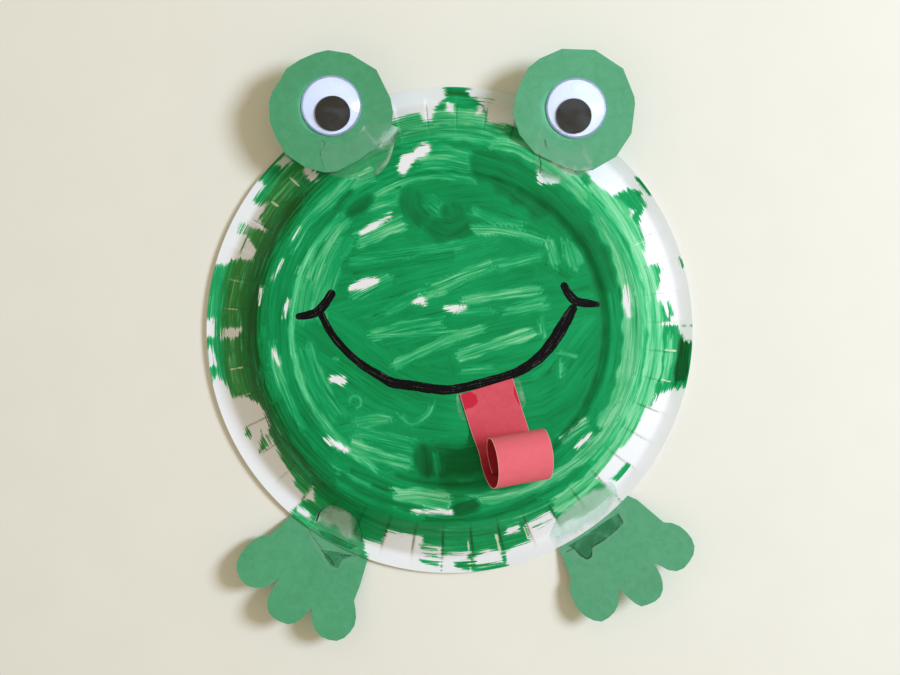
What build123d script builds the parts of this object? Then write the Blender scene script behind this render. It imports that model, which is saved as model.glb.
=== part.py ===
from build123d import *
import math
import os

# A paper plate frog. The plate lies face down, so its domed back is the frog's face.
# Millimetres, +Z out of the face, +Y towards the eyes, and the lowest point at z = 0.

# Sheet thicknesses
board = 0.6
paper = 0.4
film = 0.15
ink = 0.1

# Plate, from its edge inwards
plate_diameter = 228.6
dome_height = 18.6
lip_width = 6.9
lip_rise = 2.0
flange_width = 19.2
ring_width = 14.6
recess_slope = 1.8
recess_depth = 1.2

# Pleats pressed into the flange: each rises in a narrow tuck and falls over its panel
pleat_count = 46
pleat_rise = 0.8
tuck_width = 0.9
pleat_root = 1.5
first_pleat_angle = 2.0

# The flange's bends, as (share of the flange's width, share of its fall, share of the pleats' rise)
flange_shares = [(0.0, 0.0, 0.0), (0.07, 0.06, 0.35), (0.47, 0.56, 1.0), (1.0, 1.0, 0.4)]

# Eye discs cut from paper, and where each is held on the plate
eye_disc_radius = 28.1
left_eye_angle = 118.5
right_eye_angle = 60.5
left_eye_overlap = 2.6
right_eye_overlap = 0.9

# Googly eyes: a white base, a loose pupil that has slid down, and a clear dome
googly_radius = 13.75
googly_base = 0.9
dome_wall = 0.6
dome_rim = 1.4
dome_crown = 3.6
dome_sides = 36
dome_band_shares = [1.0, 0.75, 0.5, 0.25, 0.05]
pupil_radius = 8.0
pupil_thickness = 0.9
left_googly_offset = (0.2, 2.4)
right_googly_offset = (1.0, 0.8)
left_pupil_drop = (0.7, -3.6)
right_pupil_drop = (-1.1, -3.7)

# Feet, each a paper cut-out glued under the lip, with a heel narrower than its end at the lip
foot_length = 39.4
foot_glue_width = 4.6
foot_glue_gap = 0.15
foot_heel_share = 0.8
toe_snips = 12
left_foot_angle = 239.4
right_foot_angle = 307.9

# Mouth and tongue
mouth_width = 137.4
steps_per_stroke_point = 2
tongue_width = 25.4
tongue_flat_length = 33.5
tongue_tilt = 14.0
curl_radius = 12.2
curl_tightening = 1.7
curl_shift = 1.6
curl_turn = 395.0
curl_step = 15
lead_in_share = 0.45

# Clear film that holds the cut-outs
film_clearance = 0.1
foot_film_on_flange = 7.5
foot_film_on_foot = 7.5
foot_film_drop = 1.2
film_reach = 15.0
film_snips = 18
tongue_film_length = 33.0
tongue_film_height = 10.5
tongue_film_corner = 3.0

# Hand-cut outlines and drawn lines, read by eye in pixels of the photograph (x right, y down)
left_disc_pixels = [
    (328.5, 51.6), (350, 55), (376.6, 71), (383, 84.7), (390.7, 99.6), (393.2, 113), (392, 124.5),
    (379, 146), (359, 161), (337.6, 172.3), (325, 173.4), (306, 168.5), (286, 155), (275.4, 136),
    (270.5, 123), (269.6, 103), (273, 93), (281, 81), (287, 70), (301, 61), (316, 54.5),
]
right_disc_pixels = [
    (562.8, 48.2), (595.8, 49.4), (623.8, 67.9), (635, 95.9), (635.7, 103), (632.2, 132.4),
    (616.8, 155.6), (593.7, 168.9), (578.2, 170.3), (567, 166.8), (536.1, 152.1), (520.7, 133.8),
    (513.7, 112.8), (517.9, 90.3), (529.1, 67.2), (540.3, 58.1),
]
left_disc_centre_pixel = (331.4, 112.5)
right_disc_centre_pixel = (574.7, 109.3)
disc_radius_pixels = 61.2

# Each toe is a rounded run of points between two notches, and the last run ends at the ankle
left_foot_toes_pixels = [
    [(291.8, 518.7), (272.4, 536.6)],
    [(262.5, 537.7), (251.7, 545.3), (244.1, 555.1), (241.4, 564.8), (244.1, 574.6), (251.7, 583.2),
     (263.6, 586), (273.4, 583.8), (283.1, 576.7)],
    [(276.6, 587.6), (272.3, 600), (276, 612), (284.2, 617.4), (293.4, 620.6), (304.8, 616.3), (315.1, 604.9)],
    [(315.1, 614.7), (322.2, 630.9), (333, 636.4), (342.8, 636.9), (350.9, 631.5), (356.9, 623.4),
     (357.9, 612.5), (355.8, 600.6)],
    [(361.7, 585.4), (368.8, 560.5)],
]
right_foot_toes_pixels = [
    [(560.1, 549.6), (574.2, 586)],
    [(572.5, 596.2), (574.7, 602.8), (580.1, 613.6), (593.1, 622.8), (601.3, 624.4), (609.4, 620.1),
     (615.9, 613.6), (619.5, 603), (619.7, 591.9)],
    [(626.7, 599.5), (633.2, 604.9), (639.7, 608.7), (648.4, 606), (656, 602.2), (661.4, 593),
     (661.4, 584.3), (652.8, 567.5)],
    [(660.3, 570.2), (668.5, 574.3), (680.4, 572.9), (686.4, 567), (692.3, 557.2), (692.9, 549.6),
     (685.3, 536.6), (679.9, 532.3), (664.7, 529)],
    [(654.9, 520.4), (640, 508)],
]
left_lip_pixel = (327.2, 541.5)
right_lip_pixel = (602.1, 529.8)
foot_length_pixels = 83.0

# Marker strokes as (x, y, width) along each stroke
smile_pixels = [
    (320, 312, 7), (331, 333, 7.5), (345, 350, 7.5), (362, 365, 8), (380, 376, 9), (393, 383, 10),
    (414, 386, 10), (432, 389, 10), (449, 390, 9.5), (466.5, 387, 9), (486, 382, 9), (508, 376, 9.5),
    (525, 368, 10), (540, 357, 11), (553, 342, 12), (564, 324, 12), (572.7, 309, 9),
]
left_tick_pixels = [
    (332, 293.4, 7), (324.5, 304.7, 8), (316.9, 312.3, 8), (307.1, 315.5, 7), (298.4, 316.6, 6),
]
right_tick_pixels = [
    (563.6, 285.6, 6), (568.4, 293.9, 7.5), (576, 301.4, 8), (587.9, 303.6, 7), (597.7, 304.7, 5),
]
mouth_width_pixels = 299.3

# Clear film patches
left_eye_film_pixels = [(322, 141), (352, 147), (376, 131), (391, 137), (388, 158), (368, 180), (332, 170)]
right_eye_film_pixels = [(537, 132), (548, 146), (584, 143), (590, 160), (578, 181), (556, 186), (529, 158)]
left_foot_film_pixels = [(311, 536), (306, 520), (326, 501), (352, 512), (366, 540), (356, 560), (330, 568)]
right_foot_film_pixels = [(548, 536), (556, 516), (600, 480), (618, 494), (626, 524), (596, 556), (562, 566)]

# Places on the photograph that the drawn and glued things are measured from
plate_centre_pixel = (449.6, 330.0)
camera_pixel = (450.0, 337.5)
tongue_top_pixel = (486.2, 386.5)
curl_centre_pixel = (518.4, 456.4)
tongue_strip_angle = 17.0
curl_axis_angle = 8.5

# Values worked out from those above
plate_radius = plate_diameter / 2
rest_radius = plate_radius - lip_width
ring_radius = rest_radius - flange_width
recess_outer_radius = ring_radius - ring_width
recess_radius = recess_outer_radius - recess_slope
face_height = dome_height - recess_depth
flange_fall = dome_height - board
lip_slope = math.atan2(lip_rise, lip_width)
face_scale = mouth_width / mouth_width_pixels
disc_scale = eye_disc_radius / disc_radius_pixels
foot_scale = foot_length / foot_length_pixels


def polar(radius, degrees, height=0):
    """A point at a radius and angle about the plate's axis."""
    turn = math.radians(degrees)
    return Vector(radius * math.cos(turn), radius * math.sin(turn), height)


def pixel_to_plan(pixel, origin, scale):
    """A pixel as a place in plan, from an origin pixel, with y turned to point up."""
    return ((pixel[0] - origin[0]) * scale, (origin[1] - pixel[1]) * scale)


def face_plan(pixel):
    """A pixel on the plate's flat face as a place about the plate's centre."""
    centre = pixel_to_plan(plate_centre_pixel, camera_pixel, face_scale)
    x, y = pixel_to_plan(pixel, camera_pixel, face_scale)
    return (x - centre[0], y - centre[1])


def sheet_section(upper, thickness):
    """The closed outline of a bent sheet: its upper line, and that line set in by the thickness."""
    lower = []
    for i, point in enumerate(upper):
        before = upper[max(i - 1, 0)]
        after = upper[min(i + 1, len(upper) - 1)]
        here = Vector(*point)
        first = (here - Vector(*before)) if i else (Vector(*after) - here)
        last = (Vector(*after) - here) if i < len(upper) - 1 else first
        first, last = first.normalized(), last.normalized()
        mitre = Vector(first.Y + last.Y, -first.X - last.X)
        lower.append(here + mitre * (thickness * 2 / mitre.length**2))
    return [Vector(*point) for point in upper] + lower[::-1]


def steps_along(curve, steps):
    """Points at even steps along a curve, where one short straight snip ends and the next starts."""
    return [curve @ (i / steps) for i in range(steps + 1)]


def radial_plane(degrees):
    """The upright plane through the plate's axis at an angle, with local x outwards and y up."""
    out = polar(1, degrees)
    return Plane(origin=(0, 0, 0), x_dir=out, z_dir=(out.Y, -out.X, 0))


def radial_face(points, degrees):
    """A section of the plate, standing in the radial plane at an angle."""
    return radial_plane(degrees) * make_face(Polyline(*[(p.X, p.Y) for p in points], close=True))


def flange_section(rise_share, degrees):
    """The flange and the smooth lip at one angle, the flange raised by a share of the pleats' rise."""
    upper = [(ring_radius - pleat_root, dome_height)]
    for run, fall, share in flange_shares:
        lift = pleat_rise * share * rise_share
        upper.append((ring_radius + flange_width * run, dome_height - flange_fall * fall + lift))
    upper.append((plate_radius, board + lip_rise))
    return radial_face(sheet_section(upper, board), degrees)


def plate():
    """The plate: a recessed face and its ring, turned, and a flange of pleats, each one lofted."""
    upper = [
        (0, face_height),
        (recess_radius, face_height),
        (recess_outer_radius, dome_height),
        (ring_radius - pleat_root / 2, dome_height),
    ]
    middle = revolve(radial_face(sheet_section(upper, board), 0), Axis.Z)
    pitch = 360 / pleat_count
    tuck = math.degrees(tuck_width / plate_radius)
    sections = [flange_section(0, 0), flange_section(1, tuck), flange_section(0, pitch)]
    pleat = loft(sections, ruled=True)
    pleats = [Rot(0, 0, first_pleat_angle + pitch * i) * pleat for i in range(pleat_count)]
    return middle.fuse(*pleats)


def disc_place(degrees, overlap):
    """Where an eye disc's centre lies, so that its inner edge overlaps the plate's ring."""
    return polar(ring_radius + eye_disc_radius - overlap, degrees, dome_height)


def eye_disc(pixels, centre_pixel, degrees, overlap):
    """A disc of paper, cut by hand with straight snips, lying on the plate's ring."""
    corners = [pixel_to_plan(p, centre_pixel, disc_scale) for p in pixels]
    outline = make_face(Polyline(*corners, close=True))
    return Pos(*disc_place(degrees, overlap)) * extrude(outline, paper)


def googly_place(degrees, overlap, offset):
    """The middle of a googly eye's underside, on the disc's upper face."""
    return disc_place(degrees, overlap) + Vector(offset[0], offset[1], paper)


def googly_base_solid(place):
    """The white back of a googly eye."""
    return Pos(*place) * Cylinder(googly_radius, googly_base, align=(Align.CENTER, Align.CENTER, Align.MIN))


def googly_dome(place):
    """The clear dome: an upright rim and a shallow crown of narrowing bands, of one wall thickness."""
    def cap(radius, crown, rim):
        sphere = (radius**2 + crown**2) / (2 * crown)
        reach = math.asin(radius / sphere)
        flat_share = math.cos(math.pi / dome_sides)
        solid = extrude(RegularPolygon(radius, dome_sides), rim)
        for outer_share, inner_share in zip(dome_band_shares, dome_band_shares[1:]):
            low, high = reach * outer_share, reach * inner_share
            width = sphere * (math.sin(low) - math.sin(high)) * flat_share
            rise = sphere * (math.cos(high) - math.cos(low))
            taper = math.degrees(math.atan2(width, rise))
            band = extrude(RegularPolygon(sphere * math.sin(low), dome_sides), rise, taper=taper)
            solid = solid.fuse(Pos(0, 0, rim + crown - sphere * (1 - math.cos(low))) * band)
        return solid

    outer = cap(googly_radius, dome_crown, dome_rim)
    inner = cap(googly_radius - dome_wall, dome_crown - dome_wall / 2, dome_rim - dome_wall / 2)
    return Pos(*(place + Vector(0, 0, googly_base))) * (outer - inner)


def pupil(place, drop):
    """The loose black disc, lying on the base where it has slid to."""
    disc = Cylinder(pupil_radius, pupil_thickness, align=(Align.CENTER, Align.CENTER, Align.MIN))
    return Pos(*(place + Vector(drop[0], drop[1], googly_base))) * disc


def foot_plane(degrees):
    """The plane of a foot's upper face, tangent to the underside of the tilted lip."""
    out = polar(1, degrees)
    across = Vector(out.Y, -out.X, 0)
    up_slope = out * math.cos(lip_slope) + Vector(0, 0, math.sin(lip_slope))
    normal = across.cross(up_slope)
    edge = polar(plate_radius, degrees, lip_rise) - normal * foot_glue_gap
    return Plane(origin=edge, x_dir=across, z_dir=normal)


def foot(toes, lip_pixel, degrees):
    """A webbed foot of paper: rounded toes between notches, and a straight heel glued under the lip."""
    out = polar(1, degrees)
    across = Vector(out.Y, -out.X, 0)

    def local(pixel):
        x, y = pixel_to_plan(pixel, lip_pixel, foot_scale)
        place = Vector(x, y, 0)
        return (place.dot(across), place.dot(out) / math.cos(lip_slope))

    outline = [local(pixel) for pixel in toes[0]]
    for toe in toes[1:-1]:
        toe_curve = Spline(outline[-1], *[local(pixel) for pixel in toe])
        outline += [(p.X, p.Y) for p in steps_along(toe_curve, toe_snips)[1:]]
    outline += [local(pixel) for pixel in toes[-1]]
    ankles = (outline[-1][0], outline[0][0])
    outline += [(x * foot_heel_share, -foot_glue_width) for x in ankles]
    return foot_plane(degrees) * extrude(make_face(Polyline(*outline, close=True)), -paper)


def stroke(points):
    """One stroke of the marker, as wide at each point as the line is drawn, with rounded ends."""
    places = [Vector(*face_plan((x, y)), 0) for x, y, width in points]
    halves = [width * face_scale / 2 for x, y, width in points]
    left, right = [], []
    for i, place in enumerate(places):
        along = (places[min(i + 1, len(places) - 1)] - places[max(i - 1, 0)]).normalized()
        side = Vector(-along.Y, along.X, 0) * halves[i]
        left.append(place + side)
        right.append(place - side)
    first_tip = places[0] - (places[1] - places[0]).normalized() * halves[0]
    last_tip = places[-1] + (places[-1] - places[-2]).normalized() * halves[-1]
    steps = steps_per_stroke_point * (len(points) - 1)
    edges = [
        Polyline(*steps_along(Spline(*left), steps)),
        ThreePointArc(left[-1], last_tip, right[-1]),
        Polyline(*steps_along(Spline(*right[::-1]), steps)),
        ThreePointArc(right[0], first_tip, left[0]),
    ]
    return extrude(make_face(edges), ink)


def mouth_line():
    """The smile and its two ticks, drawn with a marker on the flat face."""
    drawn = stroke(smile_pixels).fuse(stroke(left_tick_pixels), stroke(right_tick_pixels))
    return Pos(0, 0, face_height) * drawn


def tongue():
    """A paper strip, glued at the mouth, that runs down the face and curls up over itself."""
    floor = face_height + ink + film
    strip = math.radians(tongue_strip_angle)
    axis_turn = math.radians(curl_axis_angle)
    tilt = math.radians(tongue_tilt)
    level = Vector(math.cos(axis_turn), math.sin(axis_turn), 0)
    down = Vector(level.Y, -level.X, 0)
    axis = level * math.cos(tilt) - Vector(0, 0, math.sin(tilt))
    up = level * math.sin(tilt) + Vector(0, 0, math.cos(tilt))
    half = tongue_width / 2
    lift = floor + curl_radius / math.cos(tilt) + half * math.sin(tilt)
    centre = Vector(*face_plan(curl_centre_pixel), lift)
    top = Vector(*face_plan(tongue_top_pixel), floor)
    strip_way = Vector(math.sin(strip), -math.cos(strip), 0)
    strip_side = Vector(math.cos(strip), math.sin(strip), 0)

    def section(place, side, normal):
        corners = [place - side * half, place + side * half]
        corners += [point + normal * paper for point in corners[::-1]]
        return make_face(Polyline(*corners, close=True))

    def curled(degrees):
        turn = math.radians(degrees)
        radius = curl_radius - curl_tightening * degrees / 360
        outward = down * math.sin(turn) - up * math.cos(turn)
        shift = curl_shift * (degrees - 180) / 180
        return section(centre + axis * shift + outward * radius, axis, -outward)

    flat = [
        section(top, strip_side, Vector(0, 0, 1)),
        section(top + strip_way * tongue_flat_length * lead_in_share, strip_side, Vector(0, 0, 1)),
    ]
    steps = math.ceil(curl_turn / curl_step)
    curl = [curled(curl_turn * i / steps) for i in range(steps + 1)]
    return loft([*flat, *curl], ruled=True)


def film_outline(pixels, origin_pixel, scale):
    """The wavy edge that a patch of film was cut to, in short snips."""
    corners = [pixel_to_plan(pixel, origin_pixel, scale) for pixel in pixels]
    edge = steps_along(Spline(*corners, periodic=True), film_snips)
    return make_face(Polyline(*edge[:-1], close=True))


def eye_film(pixels, centre_pixel, degrees, overlap, googly):
    """The film over an eye disc's inner edge and the plate's ring, cut short of the googly eye."""
    place = disc_place(degrees, overlap) + Vector(0, 0, paper)
    patch = Pos(*place) * extrude(film_outline(pixels, centre_pixel, disc_scale), film)
    return patch - Pos(*googly) * Cylinder(googly_radius + film_clearance, dome_rim)


def foot_film(pixels, lip_pixel, degrees):
    """The film that comes down the flange, crosses the lip and ends on the foot."""
    clear = pleat_rise + film_clearance + film
    knee_run, knee_fall, knee_share = flange_shares[2]
    knee = (ring_radius + flange_width * knee_run, dome_height - flange_fall * knee_fall)
    fall_run = rest_radius - knee[0]
    start_height = board + (knee[1] - board) * foot_film_on_flange / fall_run
    foot_top = lip_rise - foot_glue_gap
    past = plate_radius + foot_film_drop
    end = past + foot_film_on_foot
    film_on_foot = 2 * film + film_clearance
    upper = [
        (rest_radius - foot_film_on_flange, start_height + clear),
        (rest_radius, board + clear),
        (plate_radius + film, board + lip_rise + film_clearance + film),
        (past, foot_top + foot_film_drop * math.tan(lip_slope) + film_on_foot),
        (end, foot_top + (end - plate_radius) * math.tan(lip_slope) + film_on_foot),
    ]
    band = radial_face(sheet_section(upper, film), 0)
    swept = revolve(band, Axis.Z, revolution_arc=2 * film_reach)
    swept = Rot(0, 0, degrees - film_reach) * swept
    origin = polar(plate_radius, degrees)
    outline = Pos(origin.X, origin.Y, 0) * film_outline(pixels, lip_pixel, foot_scale)
    return swept & extrude(outline, dome_height)


def tongue_film():
    """The film under the tongue's glued end, which shows at both its sides."""
    x, y = face_plan(tongue_top_pixel)
    strip = math.radians(tongue_strip_angle)
    down = tongue_film_height / 2
    outline = RectangleRounded(tongue_film_length, tongue_film_height, tongue_film_corner)
    place = Pos(x + down * math.sin(strip), y - down * math.cos(strip), face_height + ink)
    return place * Rot(0, 0, tongue_strip_angle) * extrude(outline, film)


left_googly = googly_place(left_eye_angle, left_eye_overlap, left_googly_offset)
right_googly = googly_place(right_eye_angle, right_eye_overlap, right_googly_offset)
left_disc = (left_disc_centre_pixel, left_eye_angle, left_eye_overlap)
right_disc = (right_disc_centre_pixel, right_eye_angle, right_eye_overlap)

nodes = {
    "plate": plate(),
    "left_eye_disc": eye_disc(left_disc_pixels, *left_disc),
    "right_eye_disc": eye_disc(right_disc_pixels, *right_disc),
    "left_eye_base": googly_base_solid(left_googly),
    "right_eye_base": googly_base_solid(right_googly),
    "left_pupil": pupil(left_googly, left_pupil_drop),
    "right_pupil": pupil(right_googly, right_pupil_drop),
    "left_eye_dome": googly_dome(left_googly),
    "right_eye_dome": googly_dome(right_googly),
    "left_foot": foot(left_foot_toes_pixels, left_lip_pixel, left_foot_angle),
    "right_foot": foot(right_foot_toes_pixels, right_lip_pixel, right_foot_angle),
    "mouth_line": mouth_line(),
    "tongue": tongue(),
    "left_eye_film": eye_film(left_eye_film_pixels, *left_disc, left_googly),
    "right_eye_film": eye_film(right_eye_film_pixels, *right_disc, right_googly),
    "left_foot_film": foot_film(left_foot_film_pixels, left_lip_pixel, left_foot_angle),
    "right_foot_film": foot_film(right_foot_film_pixels, right_lip_pixel, right_foot_angle),
    "tongue_film": tongue_film(),
}

# The origin is under the middle of the whole frog, on the surface that it lies on
whole = Compound(children=[Compound(children=[*node.solids()]) for node in nodes.values()]).bounding_box()
middle = whole.center()
os.makedirs("parts", exist_ok=True)
for name, node in nodes.items():
    solids = [Pos(-middle.X, -middle.Y, -whole.min.Z) * solid for solid in node.solids()]
    placed = solids[0] if len(solids) == 1 else Compound(children=solids)
    export_step(placed, f"parts/{name}.step")
    print(name, len(solids), round(sum(solid.volume for solid in solids), 1))
print("whole", whole.size, "plate centre at", -middle.X, -middle.Y)
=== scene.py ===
# %% [markdown]
# # A paper plate frog
# The frog is a paper plate, painted on its back by a child's brush, with cut paper eyes and
# feet, googly eyes, a marker smile and a curled paper tongue. Clear tape holds the cut-outs.
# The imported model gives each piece's place, and this lesson gives each one its surface.

import math
from contextlib import contextmanager

import bpy
import numpy as np
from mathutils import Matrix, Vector
from mathutils.bvhtree import BVHTree


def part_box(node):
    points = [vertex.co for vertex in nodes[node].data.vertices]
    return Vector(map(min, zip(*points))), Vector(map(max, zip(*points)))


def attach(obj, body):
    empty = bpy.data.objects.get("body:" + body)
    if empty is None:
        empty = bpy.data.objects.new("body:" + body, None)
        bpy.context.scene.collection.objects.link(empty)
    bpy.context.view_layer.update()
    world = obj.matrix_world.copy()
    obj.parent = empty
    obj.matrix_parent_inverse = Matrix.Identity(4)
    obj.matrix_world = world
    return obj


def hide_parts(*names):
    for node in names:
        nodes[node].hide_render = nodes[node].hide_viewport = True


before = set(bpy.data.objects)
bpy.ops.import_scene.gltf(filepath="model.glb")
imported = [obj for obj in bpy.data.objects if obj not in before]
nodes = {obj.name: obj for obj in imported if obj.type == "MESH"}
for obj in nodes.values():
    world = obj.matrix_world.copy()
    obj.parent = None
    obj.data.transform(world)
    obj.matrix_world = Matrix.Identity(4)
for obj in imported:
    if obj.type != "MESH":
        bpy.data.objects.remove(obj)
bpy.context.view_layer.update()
bpy.ops.object.select_all(action="DESELECT")
mm = 0.001
print("nodes:", ", ".join(sorted(nodes)))

# %% [markdown]
# ## The view
# The photograph looks straight down on the frog. A short camera distance matters here: what
# stands higher looks a little larger, so the lens and the height are set from the picture's
# own scale, and any place in the picture can then be turned into a place on the model.

# %% Camera
def box_corners(node):
    """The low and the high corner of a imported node's box."""
    return [Vector(corner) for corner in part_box(node)]


picture_size = (900, 675)
focal_pixels = 1270
camera_height = 600 * mm
sensor_width = 36
plate_low, plate_high = box_corners("plate")
plate_middle = (plate_low + plate_high) / 2
plate_centre_pixel = (449.6, 330.0)
floor_scale = camera_height / focal_pixels
camera_x = plate_middle.x + (picture_size[0] / 2 - plate_centre_pixel[0]) * floor_scale
camera_y = plate_middle.y - (picture_size[1] / 2 - plate_centre_pixel[1]) * floor_scale

lens = bpy.data.cameras.new("camera")
lens.sensor_width = sensor_width
lens.lens = focal_pixels * sensor_width / picture_size[0]
camera = bpy.data.objects.new("camera", lens)
camera.location = (camera_x, camera_y, camera_height)
bpy.context.collection.objects.link(camera)
bpy.context.scene.camera = camera
print("camera stands", round(camera_height, 3), "m over the floor")

# %% [markdown]
# ## Light and floor
# The light comes from a window on the right: shadows fall to the left, their edges are
# soft, and what lies nearer the window is brighter. A sun is as bright everywhere, so this is
# a round area light nearly two metres off. The room fills the shade with a warm glow. On a level
# face the two add up to about one, so that a colour renders as it is written.

# %% Light
light_turn = math.radians(14)
light_rise = math.radians(43)
light_distance = 1.8
light_size = 0.6
key_share = 0.5
fill_share = 0.5
window_colour = (0.9, 1.02, 1.2)
room_colour = (1.0, 0.87, 0.62, 1.0)
level = math.cos(light_rise)
to_light = Vector((math.cos(light_turn) * level, math.sin(light_turn) * level, math.sin(light_rise)))
lamp = bpy.data.lights.new("window", "AREA")
lamp.shape = "DISK"
lamp.size = light_size
lamp.energy = key_share * math.pi**2 * light_distance**2 / math.sin(light_rise)
lamp.color = window_colour
key = bpy.data.objects.new("window", lamp)
key.location = to_light * light_distance
key.rotation_mode = "QUATERNION"
key.rotation_quaternion = to_light.to_track_quat("Z", "Y")
key.visible_camera = False
bpy.context.collection.objects.link(key)

bpy.context.scene.view_settings.view_transform = "Standard"
world = bpy.data.worlds.new("room")
bpy.context.scene.world = world
world.use_nodes = True
background = world.node_tree.nodes["Background"]
background.inputs["Color"].default_value = room_colour
background.inputs["Strength"].default_value = fill_share
print("window light", round(lamp.energy, 2), "W")

# %% [markdown]
# ## Writing shader maths as sums
# A finish is a chain of nodes, and long chains are hard to read when each sum is a node of
# its own. A small class wraps one socket, so that plus and times can be written as such.

# %% Wires and finishes
def srgb(red, green, blue):
    """A colour as it is read on a screen, turned into the linear colour that a shader takes."""
    shares = (value / 255 for value in (red, green, blue))
    linear = [s / 12.92 if s <= 0.04045 else ((s + 0.055) / 1.055) ** 2.4 for s in shares]
    return (*linear, 1.0)


class Wire:
    """One output of a finish's nodes, on which sums can be written."""

    def __init__(self, finish, socket):
        self.finish = finish
        self.socket = socket

    def sum(self, operation, first, second=0.0, clamp=False):
        settings = {"operation": operation, "use_clamp": clamp}
        return self.finish.node("ShaderNodeMath", settings, {0: first, 1: second})

    def __add__(self, other):
        return self.sum("ADD", self, other)

    def __sub__(self, other):
        return self.sum("SUBTRACT", self, other)

    def __rsub__(self, other):
        return self.sum("SUBTRACT", other, self)

    def __mul__(self, other):
        return self.sum("MULTIPLY", self, other)

    def swing(self, amount):
        """A noise, which lies around a half, as a swing of so much around zero."""
        return (self - 0.5) * amount

    def power(self, other):
        return self.sum("POWER", self, other)

    def unsigned(self):
        return self.sum("ABSOLUTE", self)

    def clamped(self):
        return self.sum("ADD", self, 0.0, clamp=True)

    __radd__ = __add__
    __rmul__ = __mul__


class Finish:
    """A material that is built node by node."""

    def __init__(self, name):
        self.material = bpy.data.materials.new(name)
        self.material.use_nodes = True
        self.tree = self.material.node_tree
        self.tree.nodes.clear()

    def node(self, kind, settings=None, inputs=None, output=0):
        made = self.tree.nodes.new(kind)
        for key, value in (settings or {}).items():
            if key == "stops":
                self.set_stops(made.color_ramp, value)
            else:
                setattr(made, key, value)
        for key, value in (inputs or {}).items():
            if isinstance(value, Wire):
                self.tree.links.new(value.socket, made.inputs[key])
            else:
                made.inputs[key].default_value = value
        return Wire(self, made.outputs[output]) if made.outputs else made

    def set_stops(self, ramp, stops):
        while len(ramp.elements) < len(stops):
            ramp.elements.new(0.5)
        for element, (place, colour) in zip(ramp.elements, stops):
            element.position = place
            element.color = colour

    def ramp(self, factor, stops):
        return self.node("ShaderNodeValToRGB", {"stops": stops}, {0: factor})

    def mix(self, factor, first, second):
        return self.node("ShaderNodeMix", {"data_type": "RGBA"}, {0: factor, 6: first, 7: second}, 2)

    def number(self, name):
        return self.node("ShaderNodeAttribute", {"attribute_name": name}, output=2)

    def vector(self, name):
        return self.node("ShaderNodeAttribute", {"attribute_name": name}, output=1)

    def place(self):
        return self.node("ShaderNodeTexCoord", output=3)

    def combined(self, x, y, z):
        return self.node("ShaderNodeCombineXYZ", inputs={0: x, 1: y, 2: z})

    def stretched(self, vector, by):
        return self.node("ShaderNodeVectorMath", {"operation": "MULTIPLY"}, {0: vector, 1: by})

    def noise(self, vector, scale, detail=2.0, distortion=0.0):
        inputs = {"Vector": vector, "Scale": scale, "Detail": detail, "Distortion": distortion}
        return self.node("ShaderNodeTexNoise", inputs=inputs)

    def step(self, value, low, high):
        """0 below low, 1 above high, and a smooth rise between."""
        inputs = {0: value, 1: low, 2: high, 3: 0.0, 4: 1.0}
        return self.node("ShaderNodeMapRange", {"interpolation_type": "SMOOTHSTEP"}, inputs)

    def bump(self, height, distance, strength):
        inputs = {"Height": height, "Distance": distance, "Strength": strength}
        return self.node("ShaderNodeBump", inputs=inputs)

    def surface(self, **inputs):
        named = {key.replace("_", " "): value for key, value in inputs.items()}
        return self.node("ShaderNodeBsdfPrincipled", inputs=named)

    def done(self, shader):
        self.node("ShaderNodeOutputMaterial", inputs={"Surface": shader})
        return self.material

    def opaque(self, **inputs):
        return self.done(self.surface(**inputs))


print("a middle grey is", round(srgb(128, 128, 128)[0], 3), "in linear light")

# %% Floor
floor_width = 3.0
floor_finish = Finish("pale floor")
floor_grain = floor_finish.noise(floor_finish.place(), 30.0, 3.0)
floor_colour = floor_finish.mix(floor_grain, srgb(238, 236, 226), srgb(243, 241, 233))
floor_material = floor_finish.opaque(Base_Color=floor_colour, Roughness=0.9)
bpy.ops.mesh.primitive_plane_add(size=floor_width, location=(0, 0, 0))
floor = bpy.context.object
floor.name = "floor"
floor.data.materials.append(floor_material)
print("floor is", floor.dimensions.x, "m wide")

# %% [markdown]
# ## The plate's form
# A paper plate is pressed from one board: a recessed middle, a flat ring, a pleated flange
# and a turned-up lip. It lies face down. Its height is the same all the way round apart from
# the pleats, so it is one height for each radius, plus the pleats' lift.

# %% Heights of the plate
board = 0.6 * mm
plate_radius = 114.3 * mm
dome_rise = 18.6 * mm
lip_width = 6.9 * mm
lip_rise = 2.0 * mm
flange_width = 19.2 * mm
ring_width = 14.6 * mm
recess_slope = 1.8 * mm
recess_depth = 1.2 * mm
dome_height = plate_high.z
base_height = dome_height - dome_rise
rest_radius = plate_radius - lip_width
ring_radius = rest_radius - flange_width
recess_outer = ring_radius - ring_width
recess_radius = recess_outer - recess_slope
face_height = dome_height - recess_depth
valley_height = base_height + board
flange_runs = (0.07, 0.47)
flange_falls = (0.06, 0.56)
pleat_count = 46
pleat_rise = 0.8 * mm
pleat_pitch = 2 * math.pi / pleat_count
first_pleat = math.radians(2.0)
tuck_width = 0.9 * mm
tuck_share = tuck_width / (plate_radius * pleat_pitch)

profile_radii = [
    0, recess_radius, recess_outer, ring_radius,
    ring_radius + flange_runs[0] * flange_width, ring_radius + flange_runs[1] * flange_width,
    rest_radius, plate_radius, plate_radius + lip_width,
]
profile_heights = [
    face_height, face_height, dome_height, dome_height,
    dome_height - flange_falls[0] * (dome_height - valley_height),
    dome_height - flange_falls[1] * (dome_height - valley_height),
    valley_height, valley_height + lip_rise, valley_height + 2 * lip_rise,
]
pleat_radii = [ring_radius, profile_radii[4], profile_radii[5], rest_radius, rest_radius + lip_width / 2]
pleat_shares = [0.0, 0.35, 1.0, 0.4, 0.0]
step_softness = 0.6 * mm
flange_softness = 1.5 * mm


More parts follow.
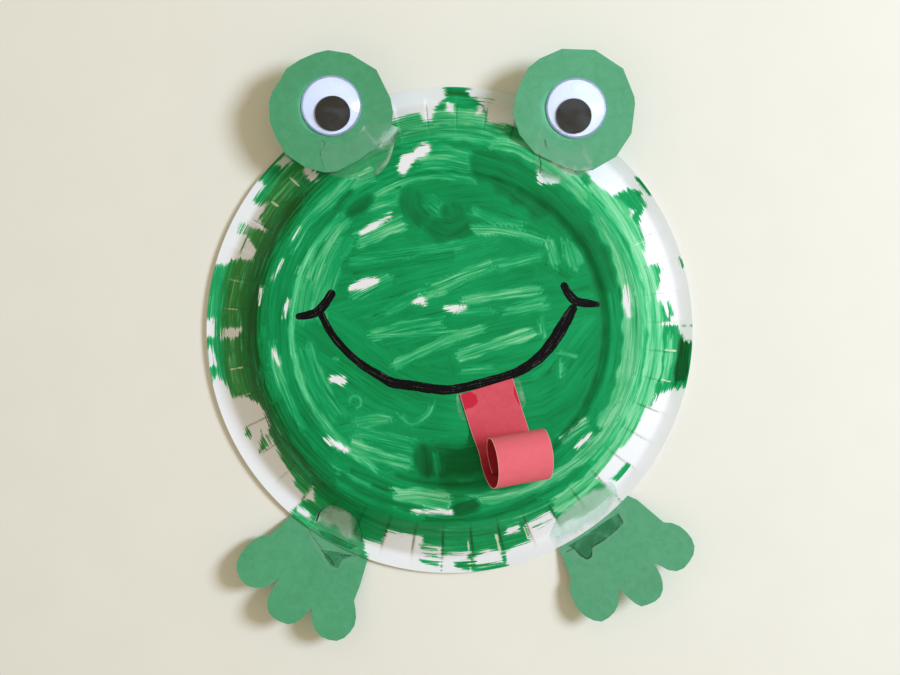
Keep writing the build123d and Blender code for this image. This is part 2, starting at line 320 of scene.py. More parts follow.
def plain_height(radii):
    """The plate's height at each radius, with the pressed bends a little rounded."""
    softness = np.interp(radii, (recess_outer, ring_radius), (step_softness, flange_softness))
    shares = np.linspace(-1, 1, 9)
    samples = [np.interp(radii + softness * share, profile_radii, profile_heights) for share in shares]
    return np.mean(samples, axis=0)


def pleat_lift(radii, angles):
    """How far a pleat lifts the flange: a quick rise over its tuck and a slow fall over its panel."""
    phase = np.mod((angles - first_pleat) / pleat_pitch, 1.0)
    rise = np.where(phase < tuck_share, phase / tuck_share, (1 - phase) / (1 - tuck_share))
    return pleat_rise * rise * np.interp(radii, pleat_radii, pleat_shares)


print("heights, mm:", [round(float(h) / mm, 2) for h in plain_height(np.array(profile_radii[:8]))])

# %% [markdown]
# ## The plate's mesh
# Paint, folds and streaks are finer than a turned solid's facets, so the plate gets a dense
# skin. A flat grid is rolled round into rings: its columns become angles and its rows radii.
# The flange has columns at every tuck, and the middle and the underside have half as many.

# %% Picking, editing and marking
def pick(*pieces):
    """Selects these pieces alone and makes the first one active."""
    bpy.ops.object.select_all(action="DESELECT")
    for piece in pieces:
        piece.select_set(True)
    bpy.context.view_layer.objects.active = pieces[0]


@contextmanager
def editing(piece, whole=True):
    """Edit mode on one piece, with the whole of it selected or else what was chosen before."""
    pick(piece)
    bpy.ops.object.mode_set(mode="EDIT")
    if whole:
        bpy.ops.mesh.select_all(action="SELECT")
    yield
    bpy.ops.object.mode_set(mode="OBJECT")


def smooth(piece, degrees):
    """Smooth shading, apart from edges where two faces meet at more than so many degrees."""
    pick(piece)
    bpy.ops.object.shade_smooth_by_angle(angle=math.radians(degrees))


def read(layer, name, size, kind=float):
    """One set of numbers of a mesh, such as its points' places, as an array."""
    values = np.empty(len(layer) * size, dtype=kind)
    layer.foreach_get(name, values)
    return values.reshape(-1, size) if size > 1 else values


def points_of(piece):
    """A piece's points as rows of x, y and z."""
    return read(piece.data.vertices, "co", 3)


def move_points(piece, places):
    """Puts a piece's points in new places."""
    piece.data.vertices.foreach_set("co", places.ravel())
    piece.data.update()


def mark(piece, name, values):
    """Writes a number onto each point of a piece, which its finish can read by name."""
    layer = piece.data.attributes.new(name, "FLOAT", "POINT")
    layer.data.foreach_set("value", np.asarray(values, dtype=np.float32))


print("floor has", len(points_of(floor)), "points")


# %% Rolled rings
merge_distance = mm / 1000


def rolled_rings(name, radii, angles, under=0.0):
    """A grid rolled into rings of the plate, on its upper side or one board's thickness under it."""
    bpy.ops.mesh.primitive_grid_add(x_subdivisions=len(angles), y_subdivisions=len(radii) - 1, size=1.0)
    ring = bpy.context.object
    ring.name = name
    closed_angles = np.append(angles, angles[0] + 2 * math.pi)
    rows, columns = np.meshgrid(radii, closed_angles, indexing="ij")
    r, a = rows.ravel(), columns.ravel()
    z = plain_height(r) + pleat_lift(r, a)
    if under:
        slope = (plain_height(r + mm / 10) - plain_height(r - mm / 10)) / (mm / 5)
        steepness = np.sqrt(1 + slope**2)
        r = r + under * slope / steepness
        z = z - under / steepness
    move_points(ring, np.stack([plate_middle.x + r * np.cos(a), plate_middle.y + r * np.sin(a), z], axis=1))
    with editing(ring):
        bpy.ops.mesh.remove_doubles(threshold=merge_distance)
    return ring


panel_start = 0.1
panel_steps = 15
tuck_phases = [0.0, tuck_share / 2, tuck_share, panel_start]
panel_phases = [panel_start + (1 - panel_start) * i / panel_steps for i in range(1, panel_steps)]
fine_angles = np.array([
    first_pleat + pleat_pitch * (pleat + phase)
    for pleat in range(pleat_count)
    for phase in tuck_phases + panel_phases
])
half_angles = fine_angles[::2]
face_rings, step_rings, outer_rings = 76, 10, 58
under_step_rings, under_outer_rings = 6, 16
step_margin = 0.7 * mm
seam_inner, seam_outer = recess_outer + 1.2 * mm, recess_outer + 1.8 * mm
middle_radii = np.concatenate([
    np.linspace(0, recess_radius - mm, face_rings),
    np.linspace(recess_radius - step_margin, recess_outer + step_margin, step_rings),
    [seam_inner],
])
outer_radii = np.linspace(seam_outer, plate_radius, outer_rings)
under_radii = np.concatenate([
    [0],
    np.linspace(recess_radius - mm, recess_outer + mm, under_step_rings),
    np.linspace(ring_radius - mm, plate_radius, under_outer_rings),
])

plate = rolled_rings("painted_plate", outer_radii, fine_angles)
middle_skin = rolled_rings("plate_middle", middle_radii, half_angles)
underside = rolled_rings("plate_underside", under_radii, half_angles, under=board)
pick(plate, middle_skin, underside)
bpy.ops.object.join()
print("rings have", len(plate.data.vertices), "points")


# %% Bridge the rings and turn the faces outward
def bridge(piece, low, high):
    """Bridges the two open loops whose radii lie between low and high."""
    places = points_of(piece)
    far = np.hypot(places[:, 0] - plate_middle.x, places[:, 1] - plate_middle.y)
    with editing(piece):
        bpy.ops.mesh.select_mode(type="VERT")
        bpy.ops.mesh.select_all(action="DESELECT")
        bpy.ops.mesh.select_non_manifold()
    keep_points = read(piece.data.vertices, "select", 1, bool) & (far > low) & (far < high)
    ends = read(piece.data.edges, "vertices", 2, np.int32)
    keep_edges = read(piece.data.edges, "select", 1, bool) & keep_points[ends].all(axis=1)
    piece.data.polygons.foreach_set("select", np.zeros(len(piece.data.polygons), dtype=bool))
    piece.data.vertices.foreach_set("select", keep_points)
    piece.data.edges.foreach_set("select", keep_edges)
    with editing(piece, whole=False):
        bpy.ops.mesh.select_mode(type="EDGE")
        bpy.ops.mesh.bridge_edge_loops()


seam_margin = 0.2 * mm
bridge(plate, seam_inner - seam_margin, seam_outer + seam_margin)
bridge(plate, plate_radius - seam_margin, plate_radius + mm)
with editing(plate):
    bpy.ops.mesh.normals_make_consistent(inside=False)
smooth(plate, 38)
print("plate has", len(plate.data.polygons), "faces")

# %% [markdown]
# ## Where the brush went
# The paint is the heart of this piece. Each stroke has a route, a width, a tone and a
# dryness, read from the picture, and is laid over the ones before it. A stroke gives
# the points under it their distance along and across it, and the finish later draws bristle
# lines that follow those two. Bare board is kept as a distance to the edge of the paint, so
# that its border stays sharp on a coarse mesh.

# %% From the mesh to the picture and back
def picture_places(piece):
    """Each of a piece's points as a place in the picture."""
    x, y, z = points_of(piece).T
    scale = (camera_height - z) / focal_pixels
    return picture_size[0] / 2 + (x - camera_x) / scale, picture_size[1] / 2 - (y - camera_y) / scale


def picture_to_model(pixel, height):
    """A place in the picture as a point of the model at a height."""
    scale = (camera_height - height) / focal_pixels
    x = camera_x + (pixel[0] - picture_size[0] / 2) * scale
    y = camera_y - (pixel[1] - picture_size[1] / 2) * scale
    return Vector((x, y, height))


def smoothed(points, steps):
    """A smooth run through a list of points, with as many steps between each pair."""
    points = np.array(points, dtype=float)
    padded = np.vstack([2 * points[0] - points[1], points, 2 * points[-1] - points[-2]])
    run = []
    for i in range(len(points) - 1):
        before, here, there, after = padded[i:i + 4]
        for t in np.arange(steps) / steps:
            pull = (there - before) * t + (2 * before - 5 * here + 4 * there - after) * t**2
            run.append(here + 0.5 * (pull + (3 * here - before - 3 * there + after) * t**3))
    return np.array([*run, points[-1]])


def from_segment(u, v, start, end):
    """How far places lie from a straight segment, and their shares of the way along it."""
    (u0, v0), (u1, v1) = start, end
    share = ((u - u0) * (u1 - u0) + (v - v0) * (v1 - v0)) / ((u1 - u0) ** 2 + (v1 - v0) ** 2)
    share = np.clip(share, 0, 1)
    return np.hypot(u - u0 - share * (u1 - u0), v - v0 - share * (v1 - v0)), share


print("a pixel is", round(floor_scale / mm, 3), "mm on the floor")


# %% The brush
class Brushwork:
    """What the brush leaves on each point of a piece, measured in pixels of the picture."""

    overrun = 12
    dry_edge = 1.8
    wet_edge = 5.0
    dry_from = 0.2
    waver = 0.18
    waver_rates = (0.19, 0.071)
    far_away = 1e6
    route_spacing = 300
    limit = 8.0
    # Each wave of a torn end is (depth, radians in a pixel across, shift from stroke to stroke)
    tears = ((2.2, 1.7, 1), (1.8, 2.61, 3), (2.5, 0.43, 5))

    def __init__(self, piece):
        self.piece = piece
        self.x, self.y = picture_places(piece)
        self.along, self.across, self.number, self.tone, self.dry = np.zeros((5, len(self.x)))
        self.bare = np.full(len(self.x), -self.limit)
        self.laid = 0

    def follow(self, route):
        """How far each point lies from the route, along it and across it, and the route's length."""
        best = np.full(len(self.x), self.far_away)
        along, across = np.zeros(len(self.x)), np.zeros(len(self.x))
        start = 0.0
        for i, ((x0, y0), (x1, y1)) in enumerate(zip(route, route[1:])):
            length = math.hypot(x1 - x0, y1 - y0)
            ux, uy = (x1 - x0) / length, (y1 - y0) / length
            run = (self.x - x0) * ux + (self.y - y0) * uy
            side = (self.y - y0) * ux - (self.x - x0) * uy
            before = self.overrun if i == 0 else 0
            after = self.overrun if i == len(route) - 2 else 0
            past = np.maximum(np.maximum(-run - before, run - length - after), 0)
            far = np.hypot(side, past)
            nearer = far < best
            best = np.where(nearer, far, best)
            along = np.where(nearer, start + run, along)
            across = np.where(nearer, side, across)
            start += length
        return best, along, across, start

    def stroke(self, tone, dry, width, *route):
        """Lays one stroke: its sides waver, and its ends are round when wet and torn when dry."""
        self.laid += 1
        few_points = 3 <= len(route) < 8
        best, along, across, length = self.follow(smoothed(route, 3) if few_points else route)
        quick, slow = self.waver_rates
        waves = np.sin(along * quick + self.laid) * np.sin(along * slow + 2 * self.laid)
        half = width / 2 * (1 + self.waver * waves)
        torn = sum(depth * np.sin(across * rate + shift * self.laid) for depth, rate, shift in self.tears)
        beyond = np.maximum(-along, along - length)
        if dry < self.dry_from:
            soft = self.wet_edge
            inside = half - np.hypot(best, np.maximum(beyond, 0))
        else:
            soft = self.dry_edge
            inside = np.minimum(half - best, torn * min(1, 0.2 + dry) - beyond)
        under = inside > 0
        weight = np.clip(inside / soft, 0, 1)[under]
        self.along[under] = along[under] + self.route_spacing * self.laid
        self.across[under] = across[under]
        self.number[under] = self.laid
        self.tone[under] += (tone - self.tone[under]) * weight
        self.dry[under] += (dry - self.dry[under]) * weight

    def patch(self, *route):
        """Leaves bare what lies along a route of (x, y, width)."""
        for (x0, y0, w0), (x1, y1, w1) in zip(route, route[1:]):
            far, share = from_segment(self.x, self.y, (x0, y0), (x1, y1))
            self.bare = np.maximum(self.bare, (w0 + share * (w1 - w0)) / 2 - far)

    def fill(self, corners, u=None, v=None, sign=1):
        """Leaves bare, or paints, the inside of an outline in the picture or in other coordinates."""
        u, v = (self.x, self.y) if u is None else (u, v)
        near, inside = np.full(len(u), self.far_away), np.zeros(len(u), dtype=bool)
        for (u0, v0), (u1, v1) in zip(corners, corners[1:] + corners[:1]):
            near = np.minimum(near, from_segment(u, v, (u0, v0), (u1, v1))[0])
            crossed = (v0 > v) != (v1 > v)
            inside ^= crossed & (u < u0 + (v - v0) * (u1 - u0) / ((v1 - v0) or 1))
        depth = np.where(inside, near, -near)
        self.bare = np.maximum(self.bare, depth) if sign > 0 else np.minimum(self.bare, -depth)

    def keep(self, names):
        """Writes the named sets of numbers onto the piece's points."""
        for name in names:
            mark(self.piece, name, getattr(self, name))


brush = Brushwork(plate)
print("brushwork on", len(brush.x), "points")

# %% Strokes round the plate, and the first coat over the middle
out_x, out_y = brush.x - plate_centre_pixel[0], plate_centre_pixel[1] - brush.y
far_out = np.hypot(out_x, out_y)
around = np.degrees(np.arctan2(out_y, out_x)) % 360
face_reach = 157
ring_middle = 200
ring_seed = 31
face_dryness, ring_dryness = 0.22, 0.4
lean = math.radians(14)
on_face = far_out < face_reach
first_along = out_x * math.cos(lean) + out_y * math.sin(lean)
first_across = -out_x * math.sin(lean) + out_y * math.cos(lean)
brush.along = np.where(on_face, first_along, np.radians(around) * ring_middle)
brush.across = np.where(on_face, first_across, far_out)
brush.number = np.where(on_face, 0.0, ring_seed)
brush.dry = np.where(on_face, face_dryness, ring_dryness)

# Each stroke is (tone from -1 to 1, dryness, width, places along its route)
ring_strokes = [
    (-0.10, 0.5, 24, (330, 205), (300, 240), (281, 285), (277, 330), (284, 378), (304, 420), (335, 455)),
    (0.35, 0.9, 12, (272, 340), (279, 375), (293, 410), (303, 432)),
    (0.30, 0.8, 14, (352, 178), (330, 200), (307, 222), (290, 250)),
    (0.44, 0.6, 18, (486, 142), (514, 145), (544, 160), (570, 181), (596, 209), (614, 242)),
    (-0.24, 0.1, 24, (480, 160), (508, 170), (540, 190), (571, 219), (594, 252), (607, 286)),
    (0.56, 0.5, 22, (600, 215), (622, 255), (632, 300), (632, 345), (624, 390), (604, 430)),
    (0.10, 0.5, 10, (612, 290), (616, 330), (610, 375), (596, 408)),
    (0.48, 0.8, 13, (470, 500), (520, 493), (565, 470), (600, 440), (622, 405)),
    (-0.20, 0.5, 12, (350, 470), (400, 490), (450, 500)),
    (0.62, 0.9, 22, (392, 498), (420, 497), (452, 503)),
    (0.30, 0.9, 10, (300, 440), (330, 468), (372, 488)),
    (-0.65, 0.1, 20, (457, 512), (472, 506)),
]
face_strokes = [
    (-0.06, 0.15, 90, (430, 205), (500, 200), (560, 235)),
    (-0.02, 0.15, 70, (330, 345), (420, 400), (540, 400), (590, 350)),
    (0.30, 0.9, 26, (416, 160), (446, 158), (476, 164)),
    # This pale line along the top of the recess step is painted highlight on the step
    (0.36, 0.9, 9, (368, 200), (398, 184), (433, 176), (475, 181)),
    (0.22, 1.0, 16, (368, 206), (404, 196)),
    (0.36, 0.6, 28, (344, 234), (330, 262), (319, 296), (313, 322)),
    (0.46, 0.7, 16, (345, 218), (328, 242), (315, 268), (307, 296)),
    (0.28, 0.4, 18, (306, 280), (302, 304), (300, 324)),
    # These two pale lines along the left of the recess step are painted highlight on the step
    (0.36, 0.7, 8, (345, 214), (322, 236), (308, 258), (299, 280), (294, 305), (291, 330), (294, 358)),
    (0.44, 0.9, 9, (292, 340), (296, 366), (307, 396), (326, 424), (347, 447), (378, 471)),
    (0.16, 0.7, 20, (304, 345), (318, 385), (340, 418)),
    (0.12, 0.9, 18, (428, 200), (446, 214)),
    (-0.34, 0.05, 25, (411, 196), (412, 208), (419, 217)),
    (-0.22, 0.05, 26, (452, 212), (458, 228)),
    (-0.36, 0.05, 28, (436, 228), (448, 233), (462, 228)),
    (-0.30, 0.05, 40, (488, 166), (512, 178), (540, 200)),
    (0.40, 1.0, 17, (344, 186), (374, 173)),
    (-0.36, 0.05, 14, (336, 206), (348, 192)),
    (-0.40, 0.05, 17, (352, 211), (369, 199)),
    (0.48, 0.8, 18, (356, 241), (405, 222)),
    (0.14, 0.8, 14, (347, 261), (400, 254), (450, 247), (500, 236)),
    (-0.08, 0.5, 13, (352, 276), (400, 265), (455, 256)),
    (0.26, 0.9, 14, (352, 298), (372, 287), (392, 278)),
    (0.10, 0.8, 16, (372, 318), (410, 300), (450, 285), (495, 262)),
    (0.28, 1.0, 9, (386, 313), (414, 300), (446, 290)),
    (0.26, 1.0, 10, (470, 210), (502, 222), (528, 226)),
    (0.40, 0.9, 12, (470, 229), (497, 230), (520, 234), (548, 243)),
    (0.34, 1.0, 13, (549, 240), (556, 266)),
    (0.42, 0.8, 21, (570, 240), (579, 268)),
    (0.80, 0.4, 3, (561, 234), (564, 262)),
    (0.36, 1.0, 13, (432, 288), (466, 274), (496, 264)),
    (0.18, 0.8, 14, (495, 266), (545, 255)),
    (0.48, 0.8, 12, (462, 301), (492, 296), (541, 290)),
    (0.36, 0.9, 8, (456, 313), (494, 311)),
    (0.25, 0.8, 15, (502, 312), (549, 302)),
    (0.34, 0.9, 15, (370, 336), (404, 328), (445, 322)),
    (0.30, 1.0, 6, (368, 337), (416, 334), (470, 330)),
    (0.50, 0.9, 12, (393, 366), (424, 351), (454, 338), (484, 328)),
    (0.50, 0.9, 14, (456, 357), (500, 343), (535, 331)),
    (0.30, 1.0, 9, (458, 371), (496, 368)),
    (0.30, 0.9, 8, (540, 317), (543, 338)),
    (-0.30, 0.1, 7, (449, 358), (454, 376)),
    (0.45, 0.8, 6, (559, 352), (577, 357)),
    (0.30, 0.8, 8, (562, 360), (562, 378)),
    (0.45, 0.6, 4, (330, 358), (342, 360)),
    (0.42, 0.6, 4, (349, 405), (351, 397), (359, 397), (361, 405), (355, 409)),
    (0.30, 0.9, 10, (354, 422), (376, 418), (392, 420)),
    (0.45, 0.8, 4, (360, 428), (374, 425), (390, 421)),
    (0.30, 0.9, 8, (400, 414), (412, 424), (428, 414), (432, 404)),
    (0.22, 0.9, 17, (352, 432), (382, 438), (415, 446)),
    (0.34, 1.0, 16, (350, 446), (382, 457), (414, 465)),
    # These two dark strokes left of the tongue's roll are partly dark paint and partly the roll's painted
    # shadow
    (-0.34, 0.1, 34, (426, 458), (458, 462), (482, 458)),
    (-0.46, 0.1, 18, (422, 450), (426, 470)),
    (0.05, 1.0, 12, (436, 452), (440, 474)),
    (0.42, 1.0, 5, (455, 482), (477, 479)),
    (-0.85, 0.5, 3, (553, 445), (584, 419)),
    (0.36, 1.0, 13, (558, 442), (588, 421)),
    (-0.90, 0.3, 3, (556, 440), (578, 418)),
]
# Each sweep is (tone, dryness, width, start and end in degrees, distance from the middle)
sweeps = [
    (0.24, 0.8, 22, 133, 202, 232), (0.26, 1.0, 16, 133, 236, 216), (-0.15, 0.9, 18, 138, 234, 196),
    (0.50, 1.0, 7, 148, 160, 224), (0.44, 1.0, 9, 166, 176, 222), (0.40, 1.0, 8, 186, 195, 221),
    (0.05, 0.6, 26, 300, 410, 222), (0.62, 0.7, 19, 300, 407, 206), (0.35, 0.7, 9, 316, 404, 194),
    (0.46, 0.9, 20, 74, 107, 213), (0.10, 0.5, 16, 74, 92, 232), (-0.40, 0.5, 9, 83, 91, 238),
    (0.35, 1.0, 4, 197, 212, 199), (0.30, 1.0, 4, 183, 196, 194), (0.30, 1.0, 6, 144, 152, 219),
    (-0.05, 0.6, 16, 228, 300, 206), (0.05, 0.7, 14, 262, 292, 222), (0.32, 1.0, 5, 268, 302, 199),
    # The dark sweep at 347 to 358 degrees on the right lip, which turns away from the window, is partly thick
    # paint and partly painted shade
    (-0.40, 0.5, 9, 262, 298, 189), (-0.70, 0.4, 14, 347, 358, 236), (0.45, 0.9, 9, 346, 359, 221),
    (0.20, 1.0, 8, 165, 178, 239), (0.20, 1.0, 7, 228, 248, 239),
    # The two dark sweeps at 154.5 from the middle are painted shade along the recess step
    (-0.62, 0.1, 9, 318, 424, 154.5), (-0.34, 0.1, 7, 250, 320, 154.5), (0.34, 0.8, 18, 77, 105, 197),
    # These dark sweeps round the left of the shoulder, with the one at 262 to 298 degrees, are partly dark
    # paint and partly painted shade where the shoulder slopes away from the window
    (-0.34, 0.5, 14, 202, 232, 186), (-0.36, 0.6, 14, 166, 192, 196), (-0.30, 0.4, 10, 232, 262, 182),
]


def round_route(start, end, distance):
    """A route round the plate through places of the picture, about five degrees apart."""
    turns = np.radians(np.linspace(start, end, max(2, round((end - start) / 5))))
    centre_x, centre_y = plate_centre_pixel
    return [(centre_x + distance * math.cos(way), centre_y - distance * math.sin(way)) for way in turns]


for stroke in face_strokes + ring_strokes:
    brush.stroke(*stroke)
for tone, dry, width, start, end, distance in sweeps:
    brush.stroke(tone, dry, width, *round_route(start, end, distance))
print("strokes laid:", brush.laid)

# %% [markdown]
# ## Where the board is bare
# The brush missed spots on the face and most of the lip. Spots are short routes with a width
# at each place. A bare stretch of the rim follows the pleats, which the brush skipped from one
# tuck to the next, so it is an outline in degrees round the plate and distance from its middle.

# %% Bare board
bare_spots = [
    [(362, 233, 4), (374, 225, 7), (390, 216, 3)],
    [(352, 288, 6), (363, 284, 11), (375, 281, 8)],
    [(415, 302, 3), (420, 300, 7), (424, 303, 4)],
    [(446, 308, 4), (455, 309, 6), (465, 307, 3)],
    [(285, 317, 1), (286, 308, 4.5), (289, 300, 1)],
    [(297, 273, 0.3), (299, 267, 0.6)],
    [(293, 239, 0.4), (300, 228, 0.9)],
    [(272, 279, 0.4), (278, 270, 1.1), (283, 260, 0.4)],
    [(259, 305, 0.4), (261, 288, 0.9)],
    [(273, 350, 0.8), (276, 357, 2.4), (279, 364, 0.8)],
    [(333, 379, 8), (343, 380, 9)],
    [(326, 439, 3), (336, 445, 5.5), (347, 450, 4.5)],
    [(626, 286, 3), (627, 302, 8), (630, 316, 4)],
    [(403, 170, 9), (406, 160, 12), (415, 155, 9), (425, 149, 12)],
    [(538, 172, 3), (541, 180, 7), (550, 181, 5), (557, 182, 3)],
    [(412, 511, 2), (426, 512, 3), (440, 511, 5), (451, 513, 5)],
    [(577, 447, 3), (586, 439, 5), (592, 433, 3)],
    [(560, 438, 0.3), (572, 430, 1.0), (585, 419, 0.3)],
    [(308, 171, 9), (313, 176, 9)],
]
# Each panel is an outline of (degrees, distance from the middle), and edge is past the rim
panel_distance = 220
pixels_per_degree = math.radians(panel_distance)
edge = 252
bare_panels = [
    [
        (1, edge), (1, 229), (1.6, 213), (2.4, 221), (5, 217), (9, 210), (13, 215), (16, 221), (17.5, 217),
        (18, 209), (22, 210), (23, 213), (29, 217), (31, 222), (32, 232), (36, 236), (38.5, 228), (39.5, 210),
        (45, 207), (52, 210), (52, edge),
    ],
    [(32, 214), (34, 217), (32.6, 222)],
    [(72, edge), (72, 213), (76, 214), (79, 212), (80, 218), (81, 225), (85, 236), (86, 241), (81, edge)],
    [(81.2, 219), (82.8, 218), (82.6, 226), (81.4, 226)],
    [(89, 217), (91, 220), (90.5, 227), (89, 225)],
    [(91.5, edge), (91, 232), (93.5, 224), (95, 210), (97, 210), (98, 219), (106, 217), (106, edge)],
    [(133, 240), (133, 231), (136, 233), (136, 239)],
    [
        (142, edge), (142, 234), (146.5, 235), (147, 226), (145, 222), (150, 219), (151.3, 209), (152, 209),
        (152.5, 226), (155, 227), (156, 217), (157.5, 210), (160.5, 210), (161.5, 224), (163.5, 233),
        (165, edge),
    ],
    [(177.5, edge), (177.5, 236), (181.5, 236), (181.5, edge)],
    [(179.6, 209), (182, 212), (182, 227), (179.6, 226)],
    [(184, 240), (186, 236), (188.5, 236), (188.5, 243), (185, 243)],
    [
        (191, 238), (194, 230), (197.3, 226), (197.6, 217), (199, 212), (201, 205), (204, 202), (208, 203),
        (210, 211), (213, 209), (221, 213), (224, 216), (225, 220), (229, 220), (229, edge), (195, edge),
    ],
    [(228.8, 207), (231.4, 218), (229, 225)],
    [(229, 233), (232, 231), (234, 235), (230, 238)],
    [
        (247.5, 226), (252.3, 224), (252.8, 210), (262.5, 208), (263, 216), (267.6, 218), (268, 230),
        (268, edge), (252, edge),
    ],
    [(268, 226), (275, 223), (275, edge), (268, edge)],
    [(276, 228), (280, 223), (283, 227), (283, 238), (276.5, 238)],
    [(284, 228), (291, 226), (291.5, 207), (299, 207), (299.5, 224), (315, 232), (315, edge), (284, edge)],
    [(285.4, 212), (286.5, 206), (289.5, 206), (289, 213)],
    [
        (315, edge), (315, 207), (325, 207), (327, 211), (338.5, 212), (339.3, 216), (342.5, 217), (345, 230),
        (347, edge),
    ],
    [(357.4, edge), (357.4, 235), (361, 229), (361, edge)],
]
painted_panels = [
    [(33.8, 240), (39, 240), (38.5, edge), (34, edge)],
    [(15, 241), (17.4, 241), (17, edge), (15, edge)],
    [(79, 233), (85, 232), (85, 234), (79, 234.5)],
    [(143, 228), (146.3, 227), (146.5, 234), (144, 234)],
    [(152.6, 230), (155.6, 230), (155.6, 234), (152.6, 234)],
    [(205.8, 226), (207, 230), (208.6, 227), (207, 224)],
    [(208, 214), (212.8, 215), (212.8, 226), (211, 220)],
    [(262, 216), (267, 219), (267, 222), (263, 220)],
    [(271, 232), (275, 231), (275, 243), (272, 238)],
    [(317, 219), (323.3, 220), (323.3, 227), (318, 226)],
    [(263, 224), (267, 225), (267, 227.5), (264, 227)],
    [(262.5, 231), (267.5, 232), (267, 236), (264, 235)],
    [(293, 214), (298.6, 215), (298.6, 217), (294, 216.5)],
    [(308, 229), (314, 228), (315, 230), (309, 231)],
    [(155, 222), (158, 221), (160, 223), (156, 225)],
    [(3, 222), (7, 219), (8, 221), (4, 224)],
]
# Each tick is bare board in an opened fold: (degrees, inner and outer distance, width)
fold_ticks = [
    (1.9, 212, 228, 2.2), (136.3, 208, 221, 2.6), (144.2, 211, 220, 2.6), (167, 212, 226, 1.3),
    (174.5, 212, 226, 1.2), (190.2, 210, 223, 2), (197.6, 209, 225, 1.2), (275, 211, 223, 2),
    (282.8, 209, 227, 3), (346.8, 217, 227, 1.6), (354.7, 216, 228, 2.2), (24.5, 202, 214, 1.2),
    (290.6, 210, 224, 1.8),
]
for sign, panels in ((1, bare_panels), (-1, painted_panels)):
    for corners in panels:
        outline = [(degrees * pixels_per_degree, distance) for degrees, distance in corners]
        brush.fill(outline, around * pixels_per_degree, far_out, sign)
        # An outline that goes on past a full turn is filled once more, from the turn's start
        if corners[0][0] > 350:
            brush.fill(outline, (around + 360) * pixels_per_degree, far_out, sign)
for route in bare_spots:
    brush.patch(*route)
brush.bare = np.clip(brush.bare, -brush.limit, brush.limit)
print("bare share of the plate:", round(float(np.mean(brush.bare > 0)), 3))


# %% Folds with painted shade, and the olive paint at the left with some painted shade
def degrees_from(marks):
    """How many degrees each point of the plate lies from a place round it, with its sign."""
    return (around - marks + 180) % 360 - 180


tick_limit = 3.0
brush.tick = np.full(len(around), -tick_limit)
for degrees, inner, outer, width in fold_ticks:
    aside = np.abs(np.radians(degrees_from(degrees)) * far_out)
    narrowing = 0.8 + 0.2 * np.sin((far_out - inner) * 0.5 + degrees)
    within = np.minimum(far_out - inner, outer - far_out)
    brush.tick = np.maximum(brush.tick, np.minimum(width / 2 * narrowing - aside, within))
brush.tick = np.clip(brush.tick, -tick_limit, tick_limit)

# How near each point lies to a pleat's crease, where the finish paints shade
pleat_degrees = np.degrees(pleat_pitch)
first_fold = np.degrees(first_pleat)
from_fold = np.abs((around - first_fold + pleat_degrees / 2) % pleat_degrees - pleat_degrees / 2)
strong_folds = [75, 83, 90, 98, 152, 205, 213, 252, 260, 268, 275, 283, 291, 299, 339]
from_strong = np.min([np.abs(degrees_from(fold)) for fold in strong_folds], axis=0)
strong_reach, weak_strength = 3.9, 0.62
fold_strength = np.where(from_strong < strong_reach, 1.0, weak_strength)
fold_reach = np.interp(far_out, (196, 204, 222, 234), (0, 1, 1, 0))
fold_softness = 1.2
brush.fold = np.exp(-((np.radians(from_fold) * far_out / fold_softness) ** 2)) * fold_reach * fold_strength

points = points_of(plate)
east, north = points[:, 0] - plate_middle.x, points[:, 1] - plate_middle.y
radii, angles = np.hypot(east, north), np.arctan2(north, east)
unpainted = points[:, 2] < plain_height(radii) + pleat_lift(radii, angles) - board / 2
brush.bare[unpainted], brush.tick[unpainted], brush.fold[unpainted] = brush.limit, -tick_limit, 0

# The left of the flange has muddy olive paint. It is darker on the steep inner part, where the flange slopes
# away from the window, and paler further out: that darker part is partly painted shade
olive_band = np.interp(far_out, (180, 196, 222, 236), (0, 1, 1, 0))
brush.olive = olive_band * np.interp(around, (118, 142, 205, 248), (0, 1, 1, 0))
brush.thinned = np.interp(far_out, (200, 217), (0, 1))
brush.keep(["along", "across", "number", "tone", "dry", "bare", "tick", "fold", "olive", "thinned"])
print("folded share of the plate:", round(float(np.mean(brush.fold > 0.5)), 3))

# %% [markdown]
# ## The paint
# A bristle line is noise that is stretched along the stroke. The stroke's tone is shifted by
# it, and a ramp turns the sum into greens from thick dark paint to a dry scrape that nearly
# shows the board. The same lines break up the edge of the bare board.

# %% Painted board
greens = [
    (0.0, srgb(0, 66, 20)), (0.27, srgb(0, 118, 60)), (0.5, srgb(0, 146, 80)),
    (0.68, srgb(16, 166, 99)), (0.84, srgb(72, 188, 122)), (1.0, srgb(132, 212, 160)),
]


